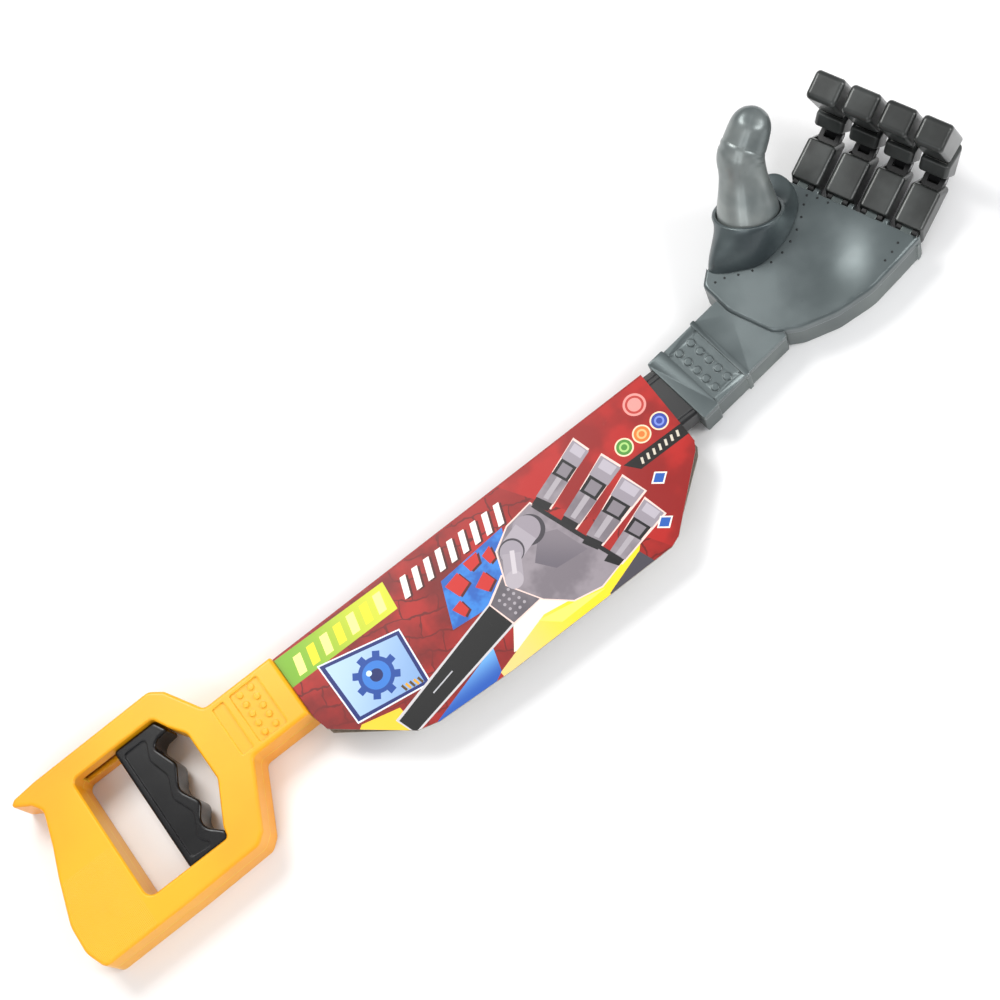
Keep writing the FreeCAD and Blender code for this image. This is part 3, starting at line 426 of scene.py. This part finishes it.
    # pale panel with a toothed wheel
    lay(poly([(174.6, 0.2), (219.2, -10.6), (216.4, -43.4), (174.8, -37.0)]), srgb("#E8EEF4"))
    lay(poly([(175.4, -0.8), (218.4, -11.2), (215.6, -42.5), (175.6, -36.2)]), srgb("#1B2E7E"))
    lay(poly([(177.6, -3.2), (216.3, -12.6), (213.8, -40.6), (177.8, -34.6)]),
        t.mix(t.ramp(t.m("SUBTRACT", X, Y), 180.0, 262.0), srgb("#C3D9EE"), srgb("#93B4DA")))
    cx, cy = 196.4, -22.6
    for i in range(8):
        a = math.radians(45 * i + 12)
        lay(poly(bar(cx + 5 * math.cos(a), cy + 5 * math.sin(a), cx + 12.4 * math.cos(a), cy + 12.4 * math.sin(a), 3.9)),
            srgb("#1D55A8"))
    lay(disc(cx, cy, 9.6), srgb("#1D55A8"))
    lay(disc(cx, cy, 7.4), srgb("#3F8BD6"))
    lay(disc(cx, cy, 3.4), srgb("#142C74"))
    lay(disc(cx - 2.6, cy + 3.0, 1.5), srgb("#D9EEFB"))
    for i in range(5):
        lay(poly(bar(203.5 + i * 2.2, -35.0 - i * 0.45, 204.3 + i * 2.2, -38.6 - i * 0.45, 1.3)),
            srgb("#E2B23B") if i % 2 else srgb("#6A4F1E"))
    lay(poly([(176.0, -38.4), (196.4, -43.6), (197.4, -58.6), (172.9, -40.6)]), srgb("#F3D33A"))
    # drawing of a grabber: black arm, grey wrist, palm, thumb and four jointed fingers
    lay(poly([(190.9, -47.6), (195.2, -59.8), (267.8, -45.6), (263.4, -28.9)]), srgb("#D6D3D4"))
    lay(poly([(192.2, -48.8), (195.4, -58.7), (266.8, -44.6), (262.8, -30.0)]), srgb("#0B0B0D"))
    lay(poly(bar(214.0, -48.2, 228.0, -45.2, 0.7)), srgb("#C9C9CC"))
    rim = srgb("#EFD9D2")
    grey = t.mix(t.ramp(t.noise(60.0, 3.0, 0.6), 0.35, 0.65), srgb("#8A8289"), srgb("#A49CA2"))
    dim = t.mix(t.ramp(t.noise(60.0, 3.0, 0.6), 0.35, 0.65), srgb("#6F6970"), srgb("#857E84"))
    fingers = (((312, -0.2), (345.8, 12.2), (348.6, 2.2), (316.5, -9.0)), ((317, -17.0), (352, -3.5), (355.9, -15.1), (320.5, -25.8)),
               ((320, -32.4), (353.6, -19.1), (358.0, -32.1), (324.4, -41.2)), ((323, -46.9), (355.3, -35.6), (358.6, -47.6), (327.6, -54.6)))

    def grown(pts, by):
        mx_, my_ = sum(q[0] for q in pts) / len(pts), sum(q[1] for q in pts) / len(pts)
        return [(q[0] + by * (1 if q[0] > mx_ else -1), q[1] + by * (1 if q[1] > my_ else -1)) for q in pts]

    def between(f, p0, p1, trim=0.0):
        """Piece of a finger between two shares of its length."""
        a, b, c, d = f
        mixq = lambda u, w, k: (u[0] + (w[0] - u[0]) * k, u[1] + (w[1] - u[1]) * k)
        l0, l1, r0, r1 = mixq(a, b, p0), mixq(a, b, p1), mixq(d, c, p0), mixq(d, c, p1)
        return [mixq(l0, r0, trim), mixq(l1, r1, trim), mixq(l1, r1, 1 - trim), mixq(l0, r0, 1 - trim)]

    for f in fingers:
        lay(poly(grown(list(f), 0.9)), rim)
    lay(poly([(261.9, -29.4), (276.0, -21.0), (287.2, -43.4), (266.2, -46.0)]), rim)
    lay(poly([(262.8, -30.2), (276.4, -22.0), (286.4, -43.0), (266.8, -44.9)]), dim)
    for i in range(3):
        for k in range(4):
            lay(disc(267.6 + i * 3.4 + k * 0.9, -31.2 - k * 3.4 + i * 0.9, 0.8), srgb("#B5AFB4"))
    lay(poly([(280.6, -9.6), (292.8, -2.2), (309.6, 0.2), (328.6, -54.2), (312.3, -58.6), (296.8, -55.4), (285.0, -44.8), (274.4, -27.0)]), rim)
    lay(poly([(281.3, -10.4), (292.9, -3.0), (309.0, -0.6), (327.8, -53.9), (312.3, -57.8), (297.2, -54.7), (285.5, -44.4), (275.2, -27.0)]), grey)
    lay(poly([(303.0, -16.0), (312.0, -20.0), (318.0, -38.0), (300.0, -36.0), (293.0, -27.0)]),
        t.mix(t.ramp(t.m("ADD", X, Y), 262.0, 292.0), srgb("#77707A"), srgb("#8F878E")))
    for f in fingers:
        lay(poly(between(f, -0.08, 0.07, 0.04)), srgb("#0E0D10"))
        lay(poly(between(f, 0.05, 0.46)), grey)
        lay(poly(between(f, 0.08, 0.44, 0.36)), srgb("#B7B1B6"))
        lay(poly(between(f, 0.44, 0.7, 0.04)), srgb("#17161A"))
        lay(poly(between(f, 0.48, 0.66, 0.2)), srgb("#938C93"))
        lay(poly(between(f, 0.7, 1.0)), srgb("#A7A0A8"))
        lay(poly(between(f, 0.84, 0.98, 0.16)), srgb("#C2BCC4"))
    lay(poly(bar(309.6, -2.0, 327.4, -53.0, 2.2)), srgb("#151417"))
    # thumb laid across the palm
    lay(disc(300.8, -11.4, 8.2), srgb("#4A454D"))
    lay(disc(299.8, -10.2, 7.3), srgb("#A8A0A8"))
    lay(poly(bar(299.0, -11.0, 289.0, -14.0, 13.2)), srgb("#B6AFB6"))
    lay(disc(287.4, -14.6, 6.6), srgb("#4E4951"))
    lay(disc(287.0, -14.9, 6.0), srgb("#ABA4AC"))
    lay(poly(bar(286.6, -15.4, 280.0, -27.0, 9.6)), srgb("#B3ACB3"))
    lay(disc(279.8, -27.4, 4.7), srgb("#BDB6BC"))
    lay(poly(bar(287.6, -14.4, 281.8, -25.0, 2.4)), srgb("#D2CCD0"))
    # right end: round marks, label band and two arrows
    for (cx, cy, c, c2) in ((363.6, -7.6, "#5E9F45", "#B8DA8C"), (374.6, -7.7, "#EE8B3C", "#F9C78E"),
                            (385.6, -7.8, "#3F56B0", "#8DA0E0")):
        lay(disc(cx, cy, 4.9), srgb("#F2DFC4"))
        lay(disc(cx, cy, 4.1), srgb(c))
        lay(disc(cx, cy, 2.6, 1.6), srgb(c2))
    lay(disc(381.0, 7.0, 6.0), srgb("#E9A7A0"))
    lay(disc(381.0, 7.0, 4.8, 3.6), srgb("#C4473F"))
    lay(poly([(357.6, -15.0), (363.4, -22.2), (393.0, -22.6), (393.0, -15.8)]), srgb("#16110F"))
    for i in range(7):
        lay(poly(bar(366.0 + i * 3.7, -20.6, 367.2 + i * 3.7, -17.4, 1.3)), srgb("#D9D2C4"))
    for cx, cy in ((367.7, -31.5), (356.2, -51.5)):
        lay(poly([(cx - 5, cy), (cx, cy - 4.0), (cx + 5, cy), (cx, cy + 4.0)]), srgb("#F0EDE6"))
        lay(poly([(cx - 3.8, cy), (cx, cy - 3.0), (cx + 3.8, cy), (cx, cy + 3.0)]), srgb("#2F6DBE"))
    # darker red band above the fold along the upper edge, plain grey back
    lay(t.m("GREATER_THAN", Y, 16.7), srgb("#A31A15"))
    back = t.mix(t.ramp(t.noise(500.0, 3.0, 0.6), 0.3, 0.7), srgb("#B9B3A8"), srgb("#A59E92"))
    g = t.t.nodes.new("ShaderNodeNewGeometry")
    s = t.t.nodes.new("ShaderNodeSeparateXYZ")
    t.t.links.new(g.outputs["Normal"], s.inputs[0])
    zz = t.m("MULTIPLY", z, 1000.0)
    edge = t.m("MULTIPLY", t.m("LESS_THAN", zz, 21.2), t.m("LESS_THAN", Y, 17.3))
    col = t.mix(edge, col, back)
    # print rubbed off in scattered pale patches, faint creases
    rub = t.ramp(t.noise(38.0, 6.0, 0.7), 0.66, 0.8)
    col = t.mix(t.m("MULTIPLY", rub, 0.18), col, srgb("#E9DFD4"))
    crease = t.noise(7.0, 2.0, 0.4)
    rough = t.m("ADD", 0.28, t.m("MULTIPLY", t.noise(60.0, 3.0, 0.6), 0.12))
    n = t.bump(crease, 0.5, 0.002, t.bump(t.noise(700.0, 2.0, 0.5), 0.05, 0.0001))
    deep = t.mix(0.42, col, t.mix(1.0, col, col, "MULTIPLY"))
    return t.finish(deep, rough, 0.0, n, 0.05, specular=0.28)


CARD = card_material()

# ---------------------------------------------------- materials on CAD nodes
def material_for(name):
    if name.startswith("handle_") and name.endswith("shell"):
        return YELLOW
    if name == "palm_front_shell":
        return PALM_GREY
    if name == "palm_back_shell":
        return CUFF_BACK
    if name == "thumb_socket":
        return SOCKET_GREY
    if name.startswith("thumb_"):
        return THUMB_GREY_PAINTED_HIGHLIGHT
    if name.startswith("finger") and name.endswith("shell"):
        return FINGER_GREY
    if name.endswith("_link"):
        return BLACK_LINK
    if name == "trigger":
        return BLACK_GLOSS
    if name == "arm_tube":
        return BLACK_TUBE
    if name == "card_sleeve":
        return CARD
    if name in ("cord_rollers", "finger_yoke"):
        return WHITE_INNER
    if name in ("trigger_cord", "finger_cords"):
        return CORD
    return STEEL


for name in frame["nodes"]:
    obj = bpy.data.objects.get(name)
    if obj is None or obj.type != "MESH":
        continue
    mat = material_for(name)
    if not obj.material_slots:
        obj.data.materials.append(mat)
    for s in obj.material_slots:
        s.material = mat

# ------------------------------------------------------------ hand features
HAND = Matrix.Translation((0.412 - 0.128, 0, 0)) @ Matrix.Rotation(math.radians(7), 4, "Z")
PALM = HAND @ Matrix.Translation((0.042, 0, 0)) @ Matrix.Rotation(math.radians(17), 4, "Z")


def dot_group(name, places, radius, height, body, mat):
    """Small domed dots, one mesh; places are (point, outward normal)."""
    verts, faces = [], []
    for p, nrm in places:
        q = Vector(nrm).normalized()
        side = q.orthogonal().normalized()
        other = q.cross(side)
        base = len(verts)
        rings = [(1.0, -0.6), (1.0, 0.35), (0.75, 0.8), (0.35, 1.0)]
        for k, (rr, hh) in enumerate(rings):
            for i in range(12):
                a = 2 * math.pi * i / 12
                verts.append(Vector(p) + (side * math.cos(a) + other * math.sin(a)) * radius * rr + q * height * hh)
        for k in range(len(rings) - 1):
            for i in range(12):
                a, b = base + k * 12 + i, base + k * 12 + (i + 1) % 12
                faces.append((a, b, b + 12, a + 12))
        faces.append(tuple(base + i for i in reversed(range(12))))
        faces.append(tuple(base + 36 + i for i in range(12)))
    me = bpy.data.meshes.new(name)
    me.from_pydata([tuple(v) for v in verts], [], faces)
    for f in me.polygons:
        f.use_smooth = True
    me.materials.append(mat)
    ob = bpy.data.objects.new(name, me)
    bpy.context.scene.collection.objects.link(ob)
    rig.ride(ob, body)
    return ob


top_z = 0.025
dots = []
for u, v in ((22.0, 10.6), (17.0, 16.0), (12.5, 21.5), (30.0, 4.2), (37.0, 1.6), (44.0, 0.8), (51.0, 0.8), (58.0, 2.0),
             (64.5, 4.0), (69.5, 5.0), (70.5, -0.5), (70.5, -6.5), (8.4, 24.6), (66.0, -48.0), (60.5, -47.6), (55.0, -46.6)):
    dots.append((PALM @ Vector((u / 1000, v / 1000, top_z)), (0, 0, 1)))
# raised dots along the palm's edges and collar, coloured near-black as painted shade of dimples
rivet_dots_painted_shade = dot_group("palm_rivet_dots_painted_shade", dots, 0.00065, 0.00022, "arm", PAINTED_SHADE_DOT)
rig.slot(rivet_dots_painted_shade, "hand_gunmetal")

def own_mesh(name, verts, faces, mat, body, slot, smooth=math.radians(35)):
    me = bpy.data.meshes.new(name)
    me.from_pydata([tuple(v) for v in verts], [], faces)
    me.materials.append(mat)
    for f in me.polygons:
        f.use_smooth = True
    me.set_sharp_from_angle(angle=smooth)
    ob = bpy.data.objects.new(name, me)
    bpy.context.scene.collection.objects.link(ob)
    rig.ride(ob, body)
    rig.slot(ob, slot)
    return ob


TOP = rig.box("palm_front_shell")
FACE_Z = 0.025


def palm_moulding():
    """The palm's front moulding, with its face sunk in one soft hollow."""
    src = frame["nodes"]["palm_front_shell"]
    bm = bmesh.new()
    bm.from_mesh(src.data)
    bmesh.ops.remove_doubles(bm, verts=bm.verts, dist=2e-6)
    inv = PALM.inverted()

    def chosen(f):
        c = inv @ f.calc_center_median()
        return (f.normal.z > 0.93 and 0.0222 < c.z < 0.02512 and -0.003 < c.x < 0.0745)

    for _ in range(6):
        area = {f for f in bm.faces if chosen(f)}
        long_ = {e for f in area for e in f.edges if e.calc_length() > 0.0026}
        if not long_:
            break
        bmesh.ops.subdivide_edges(bm, edges=list(long_), cuts=1, use_grid_fill=False)
        bmesh.ops.triangulate(bm, faces=[f for f in bm.faces if len(f.verts) > 3])
    bm.normal_update()
    area = {f for f in bm.faces if chosen(f)}
    inner = [v for v in bm.verts if v.link_faces and all(f in area for f in v.link_faces)]
    for v in inner:
        q = inv @ v.co
        r = math.hypot((q.x - 0.041) / 1.25, (q.y + 0.0215))
        k = min(r / 0.0245, 1.0)
        sink = 0.0023 * (0.5 + 0.5 * math.cos(math.pi * k))
        q.z = FACE_Z - sink
        v.co = PALM @ q
    me = bpy.data.meshes.new("palm_front_moulding")
    bm.to_mesh(me)
    bm.free()
    me.materials.append(PALM_GREY)
    for f in me.polygons:
        f.use_smooth = True
        f.material_index = 0
    me.set_sharp_from_angle(angle=math.radians(28))
    ob = bpy.data.objects.new("palm_front_moulding", me)
    bpy.context.scene.collection.objects.link(ob)
    even = ob.modifiers.new("even_shading", "WEIGHTED_NORMAL")
    even.mode = "FACE_AREA"
    even.weight = 100
    even.keep_sharp = True
    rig.ride(ob, "arm")
    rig.slot(ob, "hand_gunmetal")
    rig.replaces(ob, "palm_front_shell")


palm_moulding()

# collar and thumb, in the palm frame
T0, T1, T2 = Vector((0.045, 0.024, 0.034)), Vector((0.062, 0.0345, 0.061)), Vector((0.076, 0.0345, 0.072))
T_AXIS = (T1 - T0).normalized()
MOUND = [(12.6, 30.6), (13.6, 24.5), (18.0, 18.0), (25.2, 9.6), (34.6, 5.2), (45.0, 3.4), (55.8, 4.2), (64.8, 7.4),
         (70.4, 12.6), (73.6, 19.5), (73.2, 25.8), (68.0, 31.2), (60.0, 34.6), (50.0, 36.6), (36.0, 36.8), (22.0, 34.8)]


def closed_spline(points, count):
    """Catmull-Rom through the points, closed."""
    n, out = len(points), []
    for i in range(count):
        s = i * n / count
        k, f = int(s), s - int(s)
        p = [Vector(points[(k + j) % n]) for j in (-1, 0, 1, 2)]
        out.append(0.5 * ((2 * p[1]) + (p[2] - p[0]) * f + (2 * p[0] - 5 * p[1] + 4 * p[2] - p[3]) * f * f
                          + (3 * p[1] - p[0] - 3 * p[2] + p[3]) * f ** 3))
    return out


def thumb_collar():
    count = 112
    foot = closed_spline([(x / 1000, y / 1000, 0) for x, y in MOUND], count)
    side = T_AXIS.cross(Vector((0, 0, 1))).normalized()
    upv = side.cross(T_AXIS)
    flat = Vector((T_AXIS.x, T_AXIS.y, 0)).normalized()

    def ring_at(along, radius):
        out = []
        for q in foot:
            d = Vector((q.x - T0.x, q.y - T0.y, 0))
            a = math.atan2(d.dot(side), d.dot(flat))
            out.append(T0 + T_AXIS * along + (side * math.sin(a) - upv * math.cos(a)) * radius)
        return out

    rim_r, bore_r = 0.0186, 0.0163
    outer = ring_at(0.0016, rim_r)
    rings = [[Vector((q.x, q.y, 0.0192)) for q in foot], [Vector((q.x, q.y, 0.0250)) for q in foot]]
    steps = 9
    for i in range(1, steps):
        k = i / steps
        wide = 1 - k ** 1.18
        rise = k ** 0.86
        rings.append([Vector((q.x * wide + r.x * (1 - wide), q.y * wide + r.y * (1 - wide), 0.0252 * (1 - rise) + r.z * rise))
                      for q, r in zip(foot, outer)])
    rings.append(outer)
    rings.append(ring_at(0.0024, rim_r - 0.0003))
    rings.append(ring_at(0.0027, rim_r - 0.0009))
    rings.append(ring_at(0.0027, bore_r + 0.0006))
    rings.append(ring_at(0.0022, bore_r + 0.0001))
    rings.append(ring_at(-0.0015, bore_r))
    rings.append(ring_at(-0.0030, 0.0120))
    verts = [PALM @ v for r in rings for v in r]
    faces = []
    for i in range(len(rings) - 1):
        for j in range(count):
            k = (j + 1) % count
            faces.append((i * count + j, i * count + k, (i + 1) * count + k, (i + 1) * count + j))
    last = (len(rings) - 1) * count
    verts.append(PALM @ (T0 + T_AXIS * -0.0030))
    for j in range(count):
        faces.append((last + j, last + (j + 1) % count, len(verts) - 1))
    verts.append(PALM @ Vector((sum(q.x for q in foot) / count, sum(q.y for q in foot) / count, 0.0192)))
    for j in range(count):
        faces.append(((j + 1) % count, j, len(verts) - 1))
    ob = own_mesh("thumb_collar", verts, faces, SOCKET_GREY, "arm", "hand_gunmetal")
    bm = bmesh.new()
    bm.from_mesh(ob.data)
    bmesh.ops.recalc_face_normals(bm, faces=bm.faces)
    bm.to_mesh(ob.data)
    bm.free()
    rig.replaces(ob, "thumb_socket")


def thumb_body():
    """Broad tapering root, a knuckle, then the last joint leaning over with a flat nail."""
    count = 96
    pts = [(T0 - T_AXIS * 0.0028, 15.9, 15.9), (T0 + T_AXIS * 0.0008, 15.9, 15.9), (T0 + T_AXIS * 0.004, 15.5, 15.7),
           (T0 + T_AXIS * 0.008, 14.6, 15.0), (T0 + T_AXIS * 0.013, 13.2, 14.0), (T0 + T_AXIS * 0.018, 12.0, 13.0),
           (T0 + T_AXIS * 0.023, 11.2, 12.2), (T0 + T_AXIS * 0.0275, 11.0, 11.9), (T1 - T_AXIS * 0.001, 11.4, 12.0),
           (T1 + (T2 - T1) * 0.16 + Vector((0, 0, 0.0006)), 11.3, 11.8), (T1 + (T2 - T1) * 0.42, 10.6, 11.3),
           (T1 + (T2 - T1) * 0.72, 10.2, 10.9), (T1 + (T2 - T1) * 1.0, 9.6, 10.2), (T1 + (T2 - T1) * 1.2, 8.3, 8.8),
           (T1 + (T2 - T1) * 1.36, 6.0, 6.4), (T1 + (T2 - T1) * 1.46, 3.0, 3.2), (T1 + (T2 - T1) * 1.49, 0.9, 1.0)]
    fine = []
    n = len(pts)
    per = 7
    for i in range(n - 1):
        p = [pts[max(0, i - 1)], pts[i], pts[i + 1], pts[min(n - 1, i + 2)]]
        for k in range(per):
            f = k / per
            mixer = lambda a, b, c, d: 0.5 * ((2 * b) + (c - a) * f + (2 * a - 5 * b + 4 * c - d) * f * f
                                              + (3 * b - a - 3 * c + d) * f ** 3)
            fine.append((mixer(*[q[0] for q in p]), mixer(*[q[1] for q in p]), mixer(*[q[2] for q in p])))
    fine.append(pts[-1])
    verts, faces = [], []
    side0 = T_AXIS.cross(Vector((0, 0, 1))).normalized()
    m = len(fine)
    for i, (c, ra, rb) in enumerate(fine):
        tan = (fine[min(i + 1, m - 1)][0] - fine[max(i - 1, 0)][0]).normalized()
        sd = (side0 - tan * side0.dot(tan)).normalized()
        up_ = tan.cross(sd)
        share = i / (m - 1)
        groove = 0.0
        for g, wd, dp in ((0.565, 0.010, 0.42), (0.605, 0.008, 0.30)):
            groove += dp * math.exp(-((share - g) / wd) ** 2)
        for j in range(count):
            a = 2 * math.pi * j / count
            off = groove
            # parting seam down the two sides of the bend
            for at in (math.pi / 2 + 0.42, 3 * math.pi / 2 - 0.1):
                if share < 0.93:
                    off += 0.30 * math.exp(-((a - at) / 0.045) ** 2)
            ca, sa = math.cos(a), math.sin(a)
            # nail: flattened patch on the outer side of the tip
            nail = math.exp(-((share - 0.86) / 0.075) ** 4) * max(0.0, -sa) ** 3
            r1, r2 = ra - off, rb - off
            v = c + (sd * ca * r2 + up_ * sa * (r1 - 1.15 * nail)) / 1000
            verts.append(PALM @ v)
    for i in range(m - 1):
        for j in range(count):
            k = (j + 1) % count
            faces.append((i * count + j, i * count + k, (i + 1) * count + k, (i + 1) * count + j))
    verts.append(PALM @ (fine[0][0] - T_AXIS * 0.0))
    for j in range(count):
        faces.append(((j + 1) % count, j, len(verts) - 1))
    verts.append(PALM @ (fine[-1][0] + (T2 - T1).normalized() * 0.0002))
    b0 = (m - 1) * count
    for j in range(count):
        faces.append((b0 + j, b0 + (j + 1) % count, len(verts) - 1))
    ob = own_mesh("thumb_shell", verts, faces, THUMB_GREY_PAINTED_HIGHLIGHT, "arm", "thumb_gunmetal", math.radians(60))
    bm = bmesh.new()
    bm.from_mesh(ob.data)
    bmesh.ops.recalc_face_normals(bm, faces=bm.faces)
    bm.to_mesh(ob.data)
    bm.free()
    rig.replaces(ob, "thumb_inner_half", "thumb_outer_half")


thumb_collar()
thumb_body()


def pressed_spring(node, anchor_x, keep):
    """Return spring that shortens towards its rear seat as the trigger comes back."""
    me = frame["nodes"][node].data.copy()
    me.name = node + "_coil"
    me.materials.clear()
    me.materials.append(STEEL)
    for f in me.polygons:
        f.material_index = 0
    ob = bpy.data.objects.new(node + "_coil", me)
    bpy.context.scene.collection.objects.link(ob)
    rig.ride(ob, "arm")
    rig.slot(ob, "steel")
    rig.replaces(ob, node)
    lo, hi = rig.box(node)
    mid = (lo + hi) / 2
    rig.squash(ob, "trigger_slide", axis=(1, 0, 0), anchor=(lo.x, mid.y, mid.z), keep=keep(hi.x - lo.x))


for spring in ("return_spring_upper", "return_spring_lower"):
    pressed_spring(spring, 0.0, lambda length: (length - 0.0222) / length)

# -------------------------------------------------------------------- stage
bpy.context.scene.view_settings.view_transform = "Standard"
bpy.context.scene.view_settings.look = "None"
bpy.context.scene.view_settings.exposure = 0.0
world = bpy.data.worlds.new("studio")
bpy.context.scene.world = world
world.use_nodes = True
wt = world.node_tree
wt.nodes.clear()
wo = wt.nodes.new("ShaderNodeOutputWorld")
bg = wt.nodes.new("ShaderNodeBackground")
bg.inputs[0].default_value = (1.0, 1.0, 1.0, 1.0)
bg.inputs[1].default_value = 1.0
bg2 = wt.nodes.new("ShaderNodeBackground")
tc = wt.nodes.new("ShaderNodeTexCoord")
sx = wt.nodes.new("ShaderNodeSeparateXYZ")
wt.links.new(tc.outputs["Generated"], sx.inputs[0])
cr = wt.nodes.new("ShaderNodeValToRGB")
cr.color_ramp.elements[0].position = 0.30
cr.color_ramp.elements[0].color = (0.10, 0.10, 0.11, 1)
cr.color_ramp.elements[1].position = 0.95
cr.color_ramp.elements[1].color = (0.95, 0.95, 0.97, 1)
half = wt.nodes.new("ShaderNodeMath")
half.operation = "MULTIPLY_ADD"
half.inputs[1].default_value = 0.5
half.inputs[2].default_value = 0.5
wt.links.new(sx.outputs[2], half.inputs[0])
wt.links.new(half.outputs[0], cr.inputs[0])
wt.links.new(cr.outputs[0], bg2.inputs[0])
bg2.inputs[1].default_value = 0.62
lp = wt.nodes.new("ShaderNodeLightPath")
mx = wt.nodes.new("ShaderNodeMixShader")
wt.links.new(lp.outputs["Is Camera Ray"], mx.inputs[0])
wt.links.new(bg2.outputs[0], mx.inputs[1])
wt.links.new(bg.outputs[0], mx.inputs[2])
wt.links.new(mx.outputs[0], wo.inputs[0])


def area(name, at, aim, size, power, colour=(1, 1, 1), size_y=None):
    d = bpy.data.lights.new(name, "AREA")
    d.energy = power
    d.color = colour
    d.shape = "RECTANGLE"
    d.size = size
    d.size_y = size_y or size
    o = bpy.data.objects.new(name, d)
    bpy.context.scene.collection.objects.link(o)
    o.location = at
    o.rotation_euler = (Vector(aim) - Vector(at)).to_track_quat("-Z", "Y").to_euler()
    return o


area("key", (0.05, 0.8, 1.2), (0.2, 0.0, 0.0), 0.6, 13.5, (1.0, 0.995, 0.98))
area("fill", (-0.6, -0.6, 0.9), (0.1, 0.0, 0.0), 0.8, 5.0, (0.97, 0.985, 1.0))
area("rim", (0.9, -0.5, 0.7), (0.3, 0.0, 0.0), 0.5, 6.0)

# floor
me = bpy.data.meshes.new("floor")
me.from_pydata([(-4, -4, 0), (4, -4, 0), (4, 4, 0), (-4, 4, 0)], [], [(0, 1, 2, 3)])
floor = bpy.data.objects.new("floor", me)
floor.location = (0, 0, -0.0004)
bpy.context.scene.collection.objects.link(floor)
t = Tree("floor_white")
me.materials.append(t.finish(t.mix(t.noise(3.0, 2.0), (0.86, 0.86, 0.86, 1), (0.9, 0.9, 0.9, 1)), 0.75))
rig.stage(floor)

# ------------------------------------------------------------------- camera
cam = bpy.data.cameras.new("camera")
cam.sensor_width = 36.0
cam.lens = 18.0 / math.tan(math.radians(12.0))
cam.clip_start = 0.05
cam_obj = bpy.data.objects.new("camera", cam)
bpy.context.scene.collection.objects.link(cam_obj)
right = Vector((0.79082902, -0.57512678, -0.20932903))
up = Vector((0.61203713, 0.7431362, 0.27047946))
look = Vector((0.0, 0.34202014, -0.93969262))
cam_obj.matrix_world = Matrix((
    (right.x, up.x, -look.x, 0.1703667), (right.y, up.y, -look.y, -0.39380113),
    (right.z, up.z, -look.z, 1.13273323), (0, 0, 0, 1)))
bpy.context.scene.camera = cam_obj

size_after = [list(map(float, c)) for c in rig.bounds()]
with open("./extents.json", "w") as fh:
    json.dump({"before": size_before, "after": size_after}, fh)
